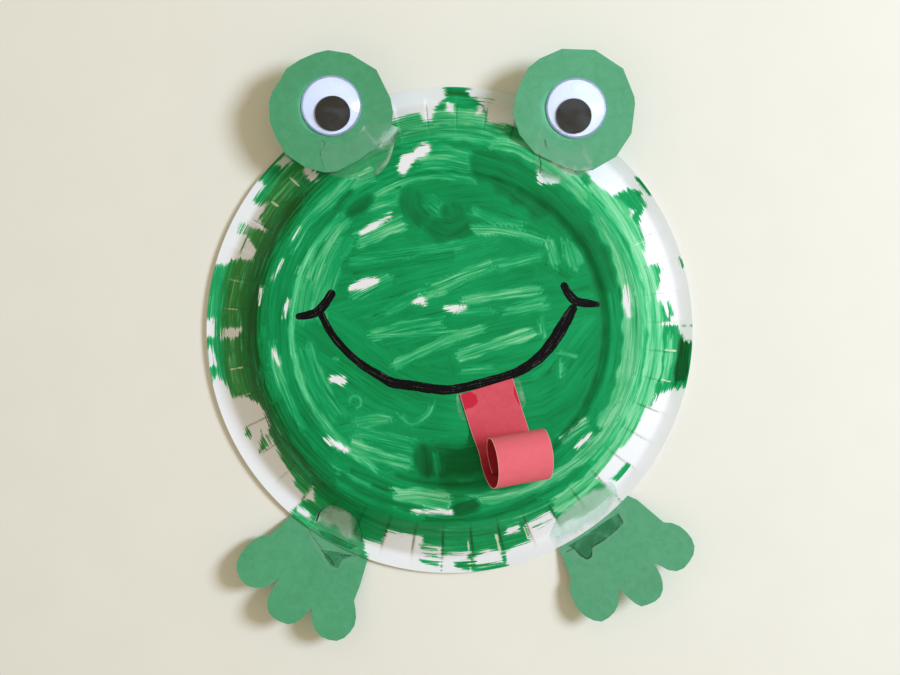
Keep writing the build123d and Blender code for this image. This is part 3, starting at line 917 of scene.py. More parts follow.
def painted_board():
    """White board under green paint with bristle lines, painted shade in the folds, and an olive stretch
    whose darker inner part is partly painted shade.
    """
    finish = Finish("painted board")
    along, across, number = (finish.number(name) for name in ("along", "across", "number"))

    def lines(along_scale, across_scale, seed_scale, detail=3.0, distortion=0.0):
        """Noise that is drawn out along each stroke and differs from stroke to stroke."""
        place = finish.combined(along * along_scale, across * across_scale, number * seed_scale)
        return finish.noise(place, 1.0, detail, distortion)

    bristles = lines(0.018, 0.42, 3.7)
    hairs = lines(0.045, 1.0, 5.1)
    broad = lines(0.011, 0.12, 2.3, 2.0, 0.4)
    blotches = finish.noise(finish.place(), 38.0, 3.0, 0.6)
    grain = finish.noise(finish.place(), 900.0, 3.0)

    ragged = finish.number("bare") + bristles.swing(9.0) + hairs.swing(9.0) + grain.swing(1.5)
    bare = finish.step(ragged, -0.35, 0.35)
    thin = finish.step(ragged, -2.6, -0.2)
    dry = finish.number("dry")
    scrape = finish.step(bristles + hairs.swing(0.7), 0.52, 0.62)
    ridge = finish.step(bristles - hairs.swing(0.5), 0.36, 0.44)
    light = finish.number("tone") * 0.6 + 0.5
    light = light + bristles.swing(0.1 + dry * 0.26) + hairs.swing(0.06 + dry * 0.36)
    light = light + scrape * dry * 0.1 + (ridge - 0.8) * dry * 0.14
    light = light + blotches.swing(0.3) + broad.swing(0.4) + grain.swing(0.06) + thin * 0.3
    paint = finish.ramp(light, greens)
    muddy = finish.step(finish.number("olive") - bristles.swing(2.6) - hairs.swing(2.0), 0.2, 1.2)
    # Dark olive inside, partly painted shade, and paler olive further out
    olive_paint_with_shade = finish.mix(finish.number("thinned"), srgb(14, 82, 4), srgb(66, 134, 44))
    paint = finish.mix(muddy * 0.8, paint, olive_paint_with_shade)

    board_tint = finish.mix(blotches, srgb(243, 243, 246), srgb(234, 235, 238))
    colour = finish.mix(bare, paint, board_tint)
    opened = finish.step(finish.number("tick") + grain.swing(1.2), -0.4, 0.4)
    colour = finish.mix(opened * 0.85, colour, srgb(222, 228, 196))
    # The dark line along each fold is painted shade in its crease, left out where the fold opened onto bare
    # board
    fold = finish.step(finish.number("fold") + grain.swing(0.9) + blotches.swing(0.8), 0.35, 0.95)
    colour = finish.mix(fold * (1 - opened) * 0.5, colour, srgb(12, 60, 30))
    height = (1 - bare) * 0.6 + (1 - bare) * hairs * 0.8 + grain * 0.35
    bump = finish.bump(height, 0.00012, 0.5)
    rough = 0.52 + bare * 0.3 + hairs.swing(0.2)
    return finish.opaque(Base_Color=colour, Roughness=rough, Normal=bump, Specular_IOR_Level=0.15)


def finished(piece, material, node):
    """Gives a piece its finish, hides the node it stands for and lets it ride on the one body."""
    piece.data.materials.clear()
    piece.data.materials.append(material)
    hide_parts(node)
    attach(piece, "root")
    print(piece.name, "has", len(piece.data.polygons), "faces")


finished(plate, painted_board(), "plate")

# %% [markdown]
# ## Marker ink
# The smile is one slow stroke of a marker and two ticks. Each stroke is a narrow grid that is
# laid along its route: its columns follow the route and its rows its width. Ends are round,
# and the width wavers as a hand's does.

# %% Routes of the marker
# Each place along a route is (x, y, width) in the picture
smile = [
    (320, 312, 7), (331, 333, 7.5), (345, 350, 7.5), (362, 365, 8), (380, 376, 9), (393, 383, 10),
    (414, 386, 10), (432, 389, 10), (449, 390, 9.5), (466.5, 387, 9), (486, 382, 9), (508, 376, 9.5),
    (525, 368, 10), (540, 357, 11), (553, 342, 12), (564, 324, 12), (572.7, 309, 9),
]
left_tick = [(331.5, 294, 8.5), (324.5, 304.7, 9), (316.9, 312.3, 9), (307.1, 315.5, 8), (299, 316.6, 7)]
right_tick = [(564, 286, 7.5), (568.4, 293.9, 8.5), (576, 301.4, 9), (587.9, 303.6, 8), (597, 304.7, 6)]
mouth_width = 137.4 * mm
mouth_width_pixels = 299.3
face_scale = mouth_width / mouth_width_pixels
print("a pixel is", round(face_scale / mm, 3), "mm on the face")


# %% Grids that become sheets
def face_xy(x, y):
    """A place in the picture, or an array of them, as x and y on the plate's face."""
    east = (x - plate_centre_pixel[0]) * face_scale
    north = (plate_centre_pixel[1] - y) * face_scale
    return plate_middle.x + east, plate_middle.y + north


def face_place(pixel, height):
    """A place in the picture as a point at a height on the plate's face."""
    return Vector((*face_xy(*pixel[:2]), height))


def thicken(piece, thickness):
    """Gives a sheet its thickness, on the side that its faces point to."""
    solid = piece.modifiers.new("sheet", "SOLIDIFY")
    solid.thickness = thickness
    solid.offset = 1.0
    bpy.ops.object.modifier_apply(modifier="sheet")


def grid_piece(name, places, thickness):
    """A grid whose points are given row by row, thickened into a closed sheet."""
    rows, columns = places.shape[:2]
    bpy.ops.object.select_all(action="DESELECT")
    bpy.ops.mesh.primitive_grid_add(x_subdivisions=columns - 1, y_subdivisions=rows - 1, size=1.0)
    piece = bpy.context.object
    piece.name = name
    move_points(piece, places)
    thicken(piece, thickness)
    return piece


print("smile starts at", [round(share, 4) for share in face_place(smile[0], face_height)])


# %% Strokes of ink
ink = 0.1 * mm
ink_gap = 0.02 * mm
ink_crown = 0.3 * ink
ink_sheet = 0.5 * ink
ink_rows = 9
end_shares = np.array([0.0, 0.3, 0.6, 0.85, 0.97])


def marker_stroke(name, route, seed):
    """One stroke of ink as a grid along its route."""
    run = smoothed(route, 8)
    spots, widths = run[:, :2], run[:, 2]
    along = np.concatenate([[0], np.cumsum(np.hypot(*np.diff(spots, axis=0).T))])
    halves = widths / 2 * (1 + 0.03 * np.sin(along * 0.37 + seed) + 0.02 * np.sin(along * 0.93 + 2 * seed))
    ways = np.gradient(spots, axis=0)
    ways /= np.hypot(*ways.T)[:, None]
    starts = spots[0] - ways[0] * halves[0] * end_shares[::-1, None]
    ends = spots[-1] + ways[-1] * halves[-1] * end_shares[:, None]
    centres = np.vstack([starts, spots[1:-1], ends])
    round_off = np.sqrt(1 - end_shares**2)
    half_widths = np.concatenate([halves[0] * round_off[::-1], halves[1:-1], halves[-1] * round_off])
    cap = len(end_shares)
    directions = np.vstack([np.repeat(ways[:1], cap, 0), ways[1:-1], np.repeat(ways[-1:], cap, 0)])
    sides = np.stack([-directions[:, 1], directions[:, 0]], axis=1)
    grid = np.empty((ink_rows, len(centres), 3))
    for row, share in enumerate(np.linspace(-1, 1, ink_rows)):
        spot_x, spot_y = (centres + sides * (half_widths * share)[:, None]).T
        grid[row, :, 0], grid[row, :, 1] = face_xy(spot_x, spot_y)
        grid[row, :, 2] = face_height + ink_gap + ink_crown * (1 - share**4)
    piece = grid_piece(name, grid, ink_sheet)
    line = piece.data.attributes.new("line", "FLOAT_VECTOR", "POINT")
    numbers = np.arange(len(piece.data.vertices))
    columns, rows = numbers % len(centres), numbers // len(centres) % ink_rows
    places = np.stack([columns, rows, np.full(len(numbers), seed)], axis=1)
    line.data.foreach_set("vector", places.astype(np.float32).ravel())
    return piece


def marker_ink():
    """Black ink, greyer where the marker skipped."""
    finish = Finish("marker ink")
    streaks = finish.noise(finish.stretched(finish.vector("line"), (0.09, 0.8, 1.0)), 1.0, 4.0)
    skipped = finish.step(streaks + finish.noise(finish.place(), 1400.0).swing(0.35), 0.56, 0.7)
    colour = finish.mix(skipped, srgb(6, 4, 7), srgb(70, 74, 68))
    return finish.opaque(Base_Color=colour, Roughness=0.5, Specular_IOR_Level=0.12)


mouth_routes = (smile, left_tick, right_tick)
mouth_parts = [marker_stroke(f"stroke_{i}", route, i + 1) for i, route in enumerate(mouth_routes)]
pick(*mouth_parts)
bpy.ops.object.join()
mouth = bpy.context.object
mouth.name = "marker_smile"
finished(mouth, marker_ink(), "mouth_line")

# %% [markdown]
# ## Cut paper
# The eye discs and feet are craft paper, cut with short straight snips. The solid already has
# the outline, so a copy of its mesh is merged, cut into small squares by planes and bent a
# little, because loose paper is never flat. Its finish is short fibres in two greens.

# %% Paper pieces
def copied(node, name):
    """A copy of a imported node's mesh, merged into one closed skin with its flat faces joined."""
    piece = bpy.data.objects.new(name, nodes[node].data.copy())
    bpy.context.collection.objects.link(piece)
    with editing(piece):
        bpy.ops.mesh.remove_doubles(threshold=merge_distance)
        bpy.ops.mesh.dissolve_limited(angle_limit=math.radians(3))
    return piece


def squared(piece, spacing):
    """Cuts a flat piece into squares with upright planes, so that it can be bent."""
    places = points_of(piece)
    low, high = places.min(axis=0), places.max(axis=0)
    with editing(piece):
        for axis, way in ((0, (1, 0, 0)), (1, (0, 1, 0))):
            for cut in np.arange(low[axis] + spacing / 2, high[axis], spacing):
                spot = [0.0, 0.0, 0.0]
                spot[axis] = cut
                bpy.ops.mesh.select_all(action="SELECT")
                bpy.ops.mesh.bisect(plane_co=spot, plane_no=way)


paper_square = 3 * mm
paper_curl = 0.35 * mm
curl_length = 28 * mm
wave_lengths = (9 * mm, 11 * mm)


def curled(piece, node):
    """Lifts the outer end of a cut-out a little, in a slight wave."""
    low, high = box_corners(node)
    middle = (low + high) / 2
    inward = Vector((plate_middle.x - middle.x, plate_middle.y - middle.y, 0)).normalized()
    places = points_of(piece)
    x, y = places[:, 0], places[:, 1]
    outward = -((x - middle.x) * inward.x + (y - middle.y) * inward.y) / curl_length
    wave = np.sin(x / wave_lengths[0] + middle.x) * np.sin(y / wave_lengths[1])
    places[:, 2] += paper_curl * np.clip(outward + 0.2, 0, 2) ** 2 * (0.6 + 0.3 * wave)
    move_points(piece, places)


print("paper is cut into squares of", round(paper_square / mm, 1), "mm")


# %% Green paper
def craft_paper(name, dark, pale, fleck):
    """Soft paper of pulp and fibres between two greens, with paler flecks."""
    finish = Finish(name)
    place = finish.place()
    pulp = finish.noise(place, 260.0, 4.0, 0.8)
    fibres = finish.noise(finish.stretched(place, (1.0, 2.6, 1.0)), 900.0, 3.0, 2.0)
    flecks = finish.step(finish.noise(finish.stretched(place, (2.4, 0.8, 1.0)), 1100.0, 2.0, 1.5), 0.64, 0.76)
    cloud = finish.noise(place, 35.0, 2.0)
    tint = pulp.swing(0.9) + fibres.swing(0.7) + cloud.swing(0.5) + 0.5
    colour = finish.mix(tint.clamped(), dark, pale)
    colour = finish.mix(flecks * 0.35, colour, fleck)
    bump = finish.bump(pulp * 0.5 + fibres * 0.6, 0.0001, 0.35)
    return finish.opaque(Base_Color=colour, Roughness=0.88, Normal=bump, Specular_IOR_Level=0.12)


# The right eye and foot get a paler copy of the same paper: painted light, as they lie nearer the window
left_greens = srgb(72, 148, 104), srgb(94, 172, 128), srgb(122, 190, 150)
right_greens_painted_lighter = srgb(84, 158, 117), srgb(106, 183, 142), srgb(134, 200, 163)
green_sheets = {
    "left": craft_paper("green craft paper", *left_greens),
    "right": craft_paper("green craft paper with painted light", *right_greens_painted_lighter),
}
for node in ("left_eye_disc", "right_eye_disc", "left_foot", "right_foot"):
    cutout = copied(node, f"paper_{node}")
    squared(cutout, paper_square)
    curled(cutout, node)
    smooth(cutout, 30)
    finished(cutout, green_sheets[node.split("_")[0]], node)

# %% [markdown]
# ## Googly eyes
# A googly eye is a white back, a loose black disc and a clear blown dome. Each is turned, so
# each is raised from a circle: every step of its section is one extrusion, made wider or
# narrower. The dome is a closed wall, so that light bends through it as through the real one.

# %% Turned pieces
round_steps = 96


def turned(name, section, place):
    """A turned piece: a circle that is extruded from one (radius, height) of its section to the next."""
    (radius, height), *rest = section
    first = (place.x, place.y, place.z + height)
    bpy.ops.object.select_all(action="DESELECT")
    bpy.ops.mesh.primitive_circle_add(vertices=round_steps, radius=radius, location=first)
    piece = bpy.context.object
    piece.name = name
    with editing(piece):
        for next_radius, next_height in rest:
            bpy.ops.mesh.extrude_edges_move(TRANSFORM_OT_translate={"value": (0, 0, next_height - height)})
            size = next_radius / radius
            middle = (place.x, place.y, place.z + next_height)
            bpy.ops.transform.resize(value=(size, size, 1), center_override=middle)
            radius, height = next_radius, next_height
        bpy.ops.mesh.select_all(action="SELECT")
        bpy.ops.mesh.fill_holes(sides=0)
        bpy.ops.mesh.select_all(action="SELECT")
        bpy.ops.mesh.normals_make_consistent(inside=False)
    bpy.ops.object.transform_apply(location=True, rotation=True, scale=True)
    smooth(piece, 35)
    places = points_of(piece)
    widest = max(point[0] for point in section)
    mark(piece, "inset", (widest - np.hypot(places[:, 0] - place.x, places[:, 1] - place.y)) / mm)
    return piece


print("a turned piece has", round_steps, "steps round")


# %% Plastics of the eyes
def white_back():
    """White plastic with a grey seam where the dome is glued on."""
    finish = Finish("white plastic")
    cloud = finish.noise(finish.place(), 120.0, 2.0)
    colour = finish.mix(cloud, srgb(196, 201, 218), srgb(205, 209, 224))
    inset = finish.number("inset") + cloud.swing(0.1)
    seam = finish.step(inset, 0.55, 0.75) * (1 - finish.step(inset, 0.8, 1.05))
    colour = finish.mix(seam * 0.75, colour, srgb(92, 98, 108))
    return finish.opaque(Base_Color=colour, Roughness=0.35, Specular_IOR_Level=0.3)


def black_disc():
    """Black plastic with smears and dust."""
    finish = Finish("black plastic")
    place = finish.place()
    dust = finish.step(finish.noise(place, 2600.0, 2.0), 0.7, 0.82)
    smear = finish.step(finish.noise(place, 110.0, 3.0, 1.0), 0.4, 0.6)
    colour = finish.mix(smear, srgb(2, 4, 7), srgb(34, 38, 42))
    colour = finish.mix(dust * 0.3, colour, srgb(90, 90, 92))
    return finish.opaque(Base_Color=colour, Roughness=0.4, Specular_IOR_Level=0.2)


def clear_dome():
    """Clear plastic that throws hardly any shadow on what lies under it."""
    finish = Finish("clear plastic")
    wobble = finish.noise(finish.place(), 90.0, 2.0)
    rough = 0.02 + wobble * 0.05
    glass = finish.surface(
        Base_Color=(1.0, 1.0, 1.0, 1.0), Roughness=rough, Transmission_Weight=1.0, IOR=1.46,
        Normal=finish.bump(wobble, 0.0002, 0.15),
    )
    passing = finish.node("ShaderNodeBsdfTransparent", inputs={0: (0.97, 0.98, 1.0, 1.0)})
    shadow_ray = finish.node("ShaderNodeLightPath", output=1)
    return finish.done(finish.node("ShaderNodeMixShader", inputs={0: shadow_ray, 1: glass, 2: passing}))


white, black, clear = white_back(), black_disc(), clear_dome()
print("plastics:", ", ".join(material.name for material in (white, black, clear)))


# %% Two googly eyes
dome_wall = 0.6 * mm
dome_rim = 1.4 * mm
shoulder = 0.7 * mm
shoulder_turn = 60
crown_steps = 14
middle_share = 0.2
back_bevel_share, pupil_bevel_share = 1 / 5, 1 / 4


def disc_section(radius, thick, bevel):
    """The section of a flat disc with bevelled edges, from under its middle to over it."""
    middle = radius * middle_share
    low_side = [(middle, 0), (radius - bevel, 0), (radius, bevel)]
    return low_side + [(reach, thick - height) for reach, height in reversed(low_side)]


def crown(radius, rim, rise):
    """The section of a shallow dome, from its rim to its top."""
    sphere = (radius**2 + rise**2) / (2 * rise)
    widest = math.asin(radius / sphere)
    tips = [widest * (1 - i / crown_steps) for i in range(crown_steps)] + [widest / crown_steps / 6]
    return [(sphere * math.sin(tip), rim + rise - sphere * (1 - math.cos(tip))) for tip in tips]


def dome_section(radius, rise):
    """The section of a clear dome: down the inside, under the rim, round the shoulder and up."""
    inner = crown(radius - dome_wall, dome_rim - dome_wall / 2, rise - dome_wall / 2)[::-1]
    steepest = math.sin(math.radians(shoulder_turn))
    bends = np.radians(np.linspace(0, shoulder_turn, 5)[:-1])
    rounded = [
        (radius - shoulder * (1 - math.cos(bend)), dome_rim - shoulder * (steepest - math.sin(bend)))
        for bend in bends
    ]
    outer = crown(radius - shoulder / 2, dome_rim, rise)
    return [*inner, (radius - dome_wall, 0), (radius, 0), *rounded, *outer]


for side in ("left", "right"):
    low, high = box_corners(f"{side}_eye_base")
    radius, thick = (high.x - low.x) / 2, high.z - low.z
    place = Vector(((low.x + high.x) / 2, (low.y + high.y) / 2, low.z))
    back = turned(f"{side}_eye_back", disc_section(radius, thick, thick * back_bevel_share), place)
    finished(back, white, f"{side}_eye_base")

    low, high = box_corners(f"{side}_pupil")
    small, thick = (high.x - low.x) / 2, high.z - low.z
    spot = Vector(((low.x + high.x) / 2, (low.y + high.y) / 2, low.z))
    pupil = turned(f"{side}_loose_pupil", disc_section(small, thick, thick * pupil_bevel_share), spot)
    finished(pupil, black, f"{side}_pupil")

    low, high = box_corners(f"{side}_eye_dome")
    seat = Vector((place.x, place.y, low.z))
    dome = turned(f"{side}_clear_dome", dome_section(radius, high.z - low.z - dome_rim), seat)
    finished(dome, clear, f"{side}_eye_dome")

# %% [markdown]
# ## The tongue
# The tongue is a strip of red paper that was pulled over a scissor blade, so it rolls up over
# itself. Its middle line is a straight run, a smooth lead-in and a spiral that tightens, and
# each row of the strip's grid stands across that line.

# %% Rolled strip
paper = 0.4 * mm
film = 0.15 * mm
tongue_width = 25.4 * mm
tongue_flat = 33.5 * mm
straight_share = 0.45
tongue_tilt = math.radians(14)
curl_radius = 12.2 * mm
curl_tightening = 1.7 * mm
curl_shift = 1.6 * mm
curl_turn = 395
tongue_top_pixel = (486.2, 386.5)
curl_centre_pixel = (516.4, 454.4)
strip_turn = math.radians(17)
axis_turn = math.radians(8.5)
straight_rows, lead_in_rows, curl_rows = 10, 24, 133
width_points = 25


def tongue_rows():
    """The middle and the sideways direction of each row of the strip, from the mouth to its free end."""
    seat = face_height + ink + film
    level_way = Vector((math.cos(axis_turn), math.sin(axis_turn), 0))
    down = Vector((level_way.y, -level_way.x, 0))
    axis = level_way * math.cos(tongue_tilt) - Vector((0, 0, math.sin(tongue_tilt)))
    up = level_way * math.sin(tongue_tilt) + Vector((0, 0, math.cos(tongue_tilt)))
    lift = seat + curl_radius / math.cos(tongue_tilt) + tongue_width / 2 * math.sin(tongue_tilt)
    centre = face_place(curl_centre_pixel, lift)
    top = face_place(tongue_top_pixel, seat)
    strip_way = Vector((math.sin(strip_turn), -math.cos(strip_turn), 0))
    strip_side = Vector((math.cos(strip_turn), math.sin(strip_turn), 0))
    straight = tongue_flat * straight_share

    rows = [(top + strip_way * straight * i / straight_rows, strip_side) for i in range(straight_rows)]
    start = top + strip_way * straight
    first = centre - axis * curl_shift - up * curl_radius
    gap = (first - start).length
    for i in range(lead_in_rows):
        t = i / lead_in_rows
        share = t * t * (3 - 2 * t)
        place = start * (2 * t**3 - 3 * t**2 + 1) + strip_way * gap * (t**3 - 2 * t**2 + t)
        place += first * (3 * t**2 - 2 * t**3) + down * gap * (t**3 - t**2)
        rows.append((place, strip_side.lerp(axis, share).normalized()))
    for i in range(curl_rows):
        degrees = curl_turn * i / (curl_rows - 1)
        bend = math.radians(degrees)
        radius = curl_radius - curl_tightening * degrees / 360
        outward = down * math.sin(bend) - up * math.cos(bend)
        rows.append((centre + axis * curl_shift * (degrees - 180) / 180 + outward * radius, axis))
    return rows


tongue_line = tongue_rows()
steps = [(after[0] - before[0]).length for before, after in zip(tongue_line, tongue_line[1:])]
tongue_lengths = np.concatenate([[0], np.cumsum(steps)])
print("tongue is", round(tongue_lengths[-1] / mm, 1), "mm long")


# %% The strip's mesh and marks
def strip_grid(rows):
    """The points of the strip's grid, from one long edge to the other."""
    grid = np.empty((width_points, len(rows), 3))
    for column, (middle, side) in enumerate(rows):
        for row, share in enumerate(np.linspace(-0.5, 0.5, width_points)):
            grid[row, column] = middle + side * tongue_width * share
    return grid


def mark_strip(piece, rows, lengths):
    """Marks each point with its place on the flat strip, and the roll's inner side."""
    both_sides = 2 * width_points
    half = tongue_width / mm / 2
    mark(piece, "along", np.tile(lengths / mm, both_sides))
    mark(piece, "across", np.tile(np.repeat(np.linspace(-half, half, width_points), len(rows)), 2))
    middles = np.array([middle for middle, side in rows])
    curl_start = len(rows) - curl_rows
    one_turn = round((curl_rows - 1) * 360 / curl_turn) + 1
    curl_middle = middles[curl_start:curl_start + one_turn].mean(axis=0)
    curl_way = np.array(rows[-1][1])
    from_axis = points_of(piece) - curl_middle
    from_axis -= np.outer(from_axis @ curl_way, curl_way)
    far = np.linalg.norm(from_axis, axis=1).reshape(2, width_points, len(rows))
    face_far = far[:, :, curl_start:].mean(axis=(1, 2))
    inward = np.repeat(face_far < face_far.mean(), width_points * len(rows))
    rolled = np.interp(np.arange(len(rows)), (curl_start - 6, curl_start + 8), (0, 1))
    mark(piece, "inner", inward * np.tile(rolled, both_sides))


tongue = grid_piece("paper_tongue", strip_grid(tongue_line), paper)
mark_strip(tongue, tongue_line, tongue_lengths)
print("tongue has", len(tongue.data.vertices), "points")


# %% Red paper
def red_paper():
    """Red paper, stained at the mouth, with the roll's painted shadow on the strip before it, painted shade
    inside the roll and painted light on its outside.
    """
    finish = Finish("red craft paper")
    place = finish.place()
    along, across = finish.number("along"), finish.number("across")
    pulp = finish.noise(place, 300.0, 4.0, 0.8)
    fibres = finish.noise(finish.stretched(place, (1.0, 2.6, 1.6)), 1000.0, 3.0, 2.0)
    cloud = finish.noise(place, 45.0, 2.0)
    tint = pulp.swing(0.8) + fibres.swing(0.5) + cloud.swing(0.7) + 0.5
    colour = finish.mix(tint.clamped(), srgb(206, 72, 88), srgb(230, 100, 114))
    ragged = finish.noise(place, 190.0, 4.0, 0.8).swing(7.0)
    near_corner = ((along - 3.6).power(2.0) + ((across + 8.8) * 0.9).power(2.0)).power(0.5) + ragged
    near_edge = ((along - 8.0) * 0.18).power(2.0) + ((across - 13.4) * 0.4).power(2.0) + ragged * 0.12
    stain = 1 - finish.step(near_corner, 3.8, 4.5) * finish.step(near_edge, 0.7, 0.95)
    colour = finish.mix(stain * 0.85, colour, srgb(204, 24, 58))
    # The inside of the roll is darker red: painted shade
    inner = finish.number("inner")
    colour = finish.mix(inner * 0.8, colour, srgb(168, 16, 40))
    # Darker red on the strip before the roll: the roll's painted shadow
    roll_shadow_share = finish.step(along - across * 0.5, 12.0, 34.0) * (1 - finish.step(along, 38.0, 46.0))
    colour = finish.mix(roll_shadow_share * 0.6, colour, srgb(176, 34, 58))
    # The outside of the roll is paler: painted light
    roll_outside_light = finish.step(along, 46.0, 54.0) * (1 - inner)
    colour = finish.mix(roll_outside_light * 0.4, colour, srgb(244, 128, 138))
    cut_edge = finish.step(across.unsigned(), 12.45, 12.65)
    colour = finish.mix(cut_edge * 0.75, colour, srgb(244, 196, 196))
    bump = finish.bump(pulp * 0.5 + fibres * 0.6, 0.0001, 0.35)
    return finish.opaque(Base_Color=colour, Roughness=0.85, Normal=bump, Specular_IOR_Level=0.15)


smooth(tongue, 40)
finished(tongue, red_paper(), "tongue")

# %% [markdown]
# ## Clear tape
# Strips of clear tape hold the cut-outs. Tape drapes: it lies on whatever is highest under it
# and bridges the steps. So each patch starts as a flat outline over the model, is cut into
# small squares, and each point is let down onto what a plumb line meets. A few rounds of
# evening out then lift it off the inner corners. Its edge and folds catch the light; its
# creases also carry painted shade, and its haze is partly painted reflection.

# %% Draping
tape_square = 0.6 * mm
tape_gap = 0.06 * mm
tape_thickness = 0.06 * mm
wrinkle_height = 0.05 * mm
crease_height = 0.08 * mm
drop_height = 0.2
evening_rounds = 12


def outline_face(name, pixels, height):
    """A flat patch with a smooth wavy edge through places of the picture."""
    ring = smoothed([*pixels, pixels[0]], 6)[:-1]
    corners = np.array([picture_to_model(pixel, height) for pixel in ring])
    bpy.ops.object.select_all(action="DESELECT")
    bpy.ops.mesh.primitive_circle_add(vertices=len(ring), radius=mm, fill_type="NGON")
    patch = bpy.context.object
    patch.name = name
    move_points(patch, corners)
    return patch


def drape(patch, carriers, gap):
    """Lets each point down onto the carriers, then evens the patch out without sinking it."""
    trees = [BVHTree.FromObject(carrier, bpy.context.evaluated_depsgraph_get()) for carrier in carriers]
    places = points_of(patch)
    nothing = -1.0
    lowest = np.full(len(places), nothing)
    for i, (x, y, z) in enumerate(places):
        for tree in trees:
            hit = tree.ray_cast(Vector((x, y, drop_height)), Vector((0, 0, -1)))[0]
            if hit is not None:
                lowest[i] = max(lowest[i], hit.z + gap)
    missing = lowest == nothing
    lowest[missing] = lowest[~missing].min()
    heights = lowest.copy()
    pairs = read(patch.data.edges, "vertices", 2, np.int32)
    for evening in range(evening_rounds):
        total, count = np.zeros(len(places)), np.zeros(len(places))
        for a, b in ((0, 1), (1, 0)):
            np.add.at(total, pairs[:, a], heights[pairs[:, b]])
            np.add.at(count, pairs[:, a], 1)
        heights = np.maximum(lowest, total / np.maximum(count, 1))
    places[:, 2] = heights
    move_points(patch, places)


def wrinkled(patch, marked):
    """Marks a patch along routes of the picture, and raises its wrinkles and creases."""
    marks = Brushwork(patch)
    places = points_of(patch)
    wrinkle = np.sin(marks.x * 0.55 + marks.y * 0.2) * np.sin(marks.y * 0.43 - marks.x * 0.11)
    places[:, 2] += wrinkle_height * (1 + wrinkle)
    for label in ("crease", "sheen", "wet"):
        marks.bare = np.full(len(marks.x), -marks.limit)
        for route in marked.get(label, []):
            if label == "wet":
                marks.fill(route)
            else:
                marks.patch(*route)
        if label == "crease":
            places[:, 2] += crease_height * np.clip(marks.bare + 1.5, 0, 2)
        mark(patch, label, marks.bare)
    move_points(patch, places)


def taped(name, node, outline, height, over, gap=tape_gap, **marked):
    """A patch of clear tape: draped over the plate and a cut-out, wrinkled and thickened."""
    patch = outline_face(name, outline, height)
    squared(patch, tape_square)
    drape(patch, [plate, bpy.data.objects[over]], gap)
    wrinkled(patch, marked)
    with editing(patch):
        bpy.ops.mesh.normals_make_consistent(inside=False)
    if sum(face.normal.z for face in patch.data.polygons) < 0:
        patch.data.flip_normals()
    thicken(patch, tape_thickness)
    smooth(patch, 60)
    finished(patch, tape, node)


print("tape is", round(tape_thickness / mm, 3), "mm thick")


# %% Clear tape
def clear_tape():
    """Tape that is nearly clear, with painted shade in its creases, a pale haze that is partly milky tape and
    partly painted reflection, and places that stuck wet.
    """
    finish = Finish("clear tape")
    place = finish.place()
    clouding = finish.noise(place, 130.0, 3.0, 0.8)
    bubbles = finish.step(finish.noise(place, 520.0, 2.0), 0.66, 0.74)
    crease = finish.step(finish.number("crease") + clouding.swing(1.2), -0.4, 0.4)
    # The pale haze is partly the tape's own milkiness and partly painted reflection
    sheen = finish.step(finish.number("sheen") + clouding.swing(14.0), -3.0, 5.0)
    wet = finish.step(finish.number("wet") + clouding.swing(3.0), -0.4, 0.6)
    patchy = finish.step(clouding, 0.35, 0.65)
    cover = (clouding - 0.42) * 0.16 + 0.04 + bubbles * 0.04
    cover = cover + crease * 0.24 + sheen * 0.36 + wet * (0.14 + patchy * 0.24)
    colour = finish.mix(sheen, srgb(170, 196, 180), srgb(192, 216, 200))
    colour = finish.mix(wet, colour, srgb(14, 112, 62))
    # The dark crease lines are painted shade in the tape's creases
    colour = finish.mix(crease, colour, srgb(10, 60, 34))
    bump = finish.bump(clouding + bubbles * 0.3, 0.0004, 0.5)
    film_surface = finish.surface(Base_Color=colour, Roughness=0.16, Normal=bump, Specular_IOR_Level=0.6)
    passing = finish.node("ShaderNodeBsdfTransparent")
    shadow_ray = finish.node("ShaderNodeLightPath", output=1)
    seen = cover.clamped() * (1 - shadow_ray)
    return finish.done(finish.node("ShaderNodeMixShader", inputs={0: seen, 1: passing, 2: film_surface}))


tape = clear_tape()
print("tape finish has", len(tape.node_tree.nodes), "nodes")


# %% Patches of tape
# Creases, painted dark as shade, and the pale haze, partly painted reflection, are routes of (x, y, width) in
# the picture, and wet places are outlines
left_eye_patch = {
    "outline": [
        (321, 140), (330, 144), (345, 143), (357, 136), (364, 126), (373, 124), (387, 124), (399, 125),
        (400, 133), (394, 146), (389.5, 160), (380, 173), (366, 179), (345, 178), (331, 175), (323, 165),
        (320, 152),
    ],
    "crease": [
        [
            (321, 140, 1.4), (325, 142, 1.6), (323.5, 147, 1.4), (319.8, 152, 1.6), (321, 158, 1.4),
            (323, 165, 1.6), (326, 172, 1.4),
        ],
    ],
    "sheen": [
        [(381, 143, 5), (390, 134, 12), (397, 128, 8)],
        [(361, 124, 1.4), (366, 130, 1.4), (372, 140, 1.2), (377, 146, 1)],
        [(372, 150, 3), (380, 147, 4), (390, 142, 4)],
        [(378, 171, 1.2), (388, 161, 1.4), (393, 148, 1.4)],
    ],
}
right_eye_patch = {
    "outline": [
        (541, 128), (544, 139), (556, 147), (570, 148), (584, 142), (590, 150), (594, 163), (591, 171),
        (580, 176), (566, 181), (552, 184), (540, 180), (536, 168), (535, 150), (537, 136),
    ],
    "crease": [
        [(543, 129, 1.5), (544.6, 136, 1.7), (545.8, 146, 1.5), (549, 151, 1.2)],
        [(539, 154, 1.5), (541, 164, 1.6), (540, 173, 1.7)],
    ],
    "sheen": [
        [(583.5, 144, 1.6), (584.7, 154, 2), (589, 160.7, 2), (591, 166, 1.6)],
        [(552, 163, 3), (566, 170, 5), (580, 172, 6), (590, 168, 4)],
        [(541, 175, 4), (549, 178, 6), (558, 180, 4)],
    ],
}
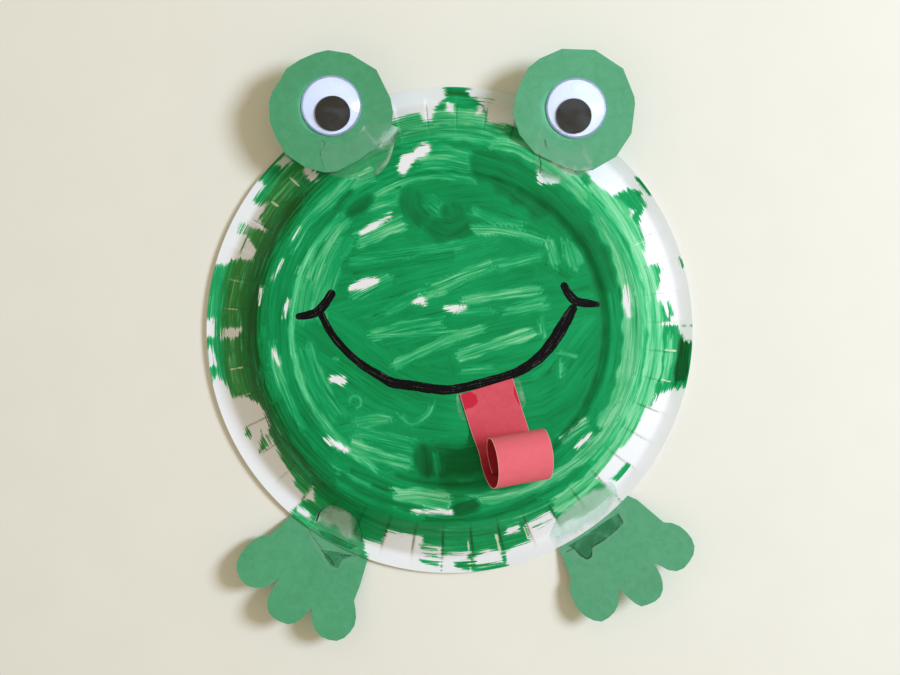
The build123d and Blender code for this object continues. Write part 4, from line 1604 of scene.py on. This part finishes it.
left_foot_patch = {
    "outline": [
        (308, 529), (315, 520), (319, 511), (330, 504), (342, 505), (356, 515), (362, 530), (364, 545),
        (358, 559), (346, 562), (337, 569), (329, 566), (322, 555), (312, 540),
    ],
    "crease": [
        [
            (309, 530, 1.2), (313, 537, 1.4), (321, 547, 1.2), (322.5, 552, 1.4), (328, 556, 1.2),
            (332, 562, 1.8), (334, 565, 2),
        ],
        [(341, 556, 1.2), (351, 555, 1.4), (356, 557, 1.2)],
        [(316.5, 521, 1.8), (319.5, 512, 1.8), (325, 507, 1.6)],
        [(345, 508, 1.6), (356, 517, 1.8), (361, 531, 1.8), (362, 541, 1.8)],
    ],
    "sheen": [[(318, 519, 10), (331, 515, 22), (344, 521, 20), (352, 533, 10)]],
    "wet": [
        [(322, 549), (334, 551), (345, 553), (354, 556), (343, 560), (338, 569), (330, 566), (325, 557)],
        [(318, 529), (330, 533), (345, 541), (358, 546), (350, 550), (333, 543), (321, 536)],
    ],
}
right_foot_patch = {
    "outline": [
        (549, 536), (557, 516), (576, 500), (600, 482), (613, 483), (619, 500), (625, 516), (624, 524),
        (616, 531), (605, 541), (594, 549), (593, 558), (586, 561), (576, 556), (565, 554), (555, 548),
    ],
    "crease": [
        [
            (566, 552, 1.2), (574, 548, 1.4), (580, 555, 1.3), (587, 559, 1.6), (591.5, 556, 1.2),
            (592, 547, 1.2), (604, 540, 1.2),
        ],
        [(604, 540, 1.2), (615, 531, 1.3), (623, 523, 1.3), (618, 513, 1.2)],
    ],
    "sheen": [[(556, 531, 16), (575, 518, 28), (598, 501, 26), (613, 490, 14)]],
    "wet": [
        [
            (568, 546), (590, 532), (606, 521), (618, 513), (624, 522), (616, 530), (604, 540), (592, 547),
            (592, 557), (587, 560), (580, 555), (574, 549),
        ],
    ],
}
tongue_patch = {
    "outline": [
        (456, 394), (465, 392), (486, 388), (514, 380), (519, 379), (523, 390), (526, 404), (518, 410),
        (490, 416), (467, 421), (458, 414),
    ],
    "gap": 0.02 * mm,
    "sheen": [[(458, 398, 2), (460, 412, 2)], [(520, 384, 2), (523, 400, 3)]],
}
taped("left_eye_tape", "left_eye_film", height=dome_height, over="paper_left_eye_disc", **left_eye_patch)
taped("right_eye_tape", "right_eye_film", height=dome_height, over="paper_right_eye_disc", **right_eye_patch)
taped("left_foot_tape", "left_foot_film", height=valley_height, over="paper_left_foot", **left_foot_patch)
taped("right_foot_tape", "right_foot_film", height=valley_height, over="paper_right_foot", **right_foot_patch)
taped("tongue_tape", "tongue_film", height=face_height, over="marker_smile", **tongue_patch)
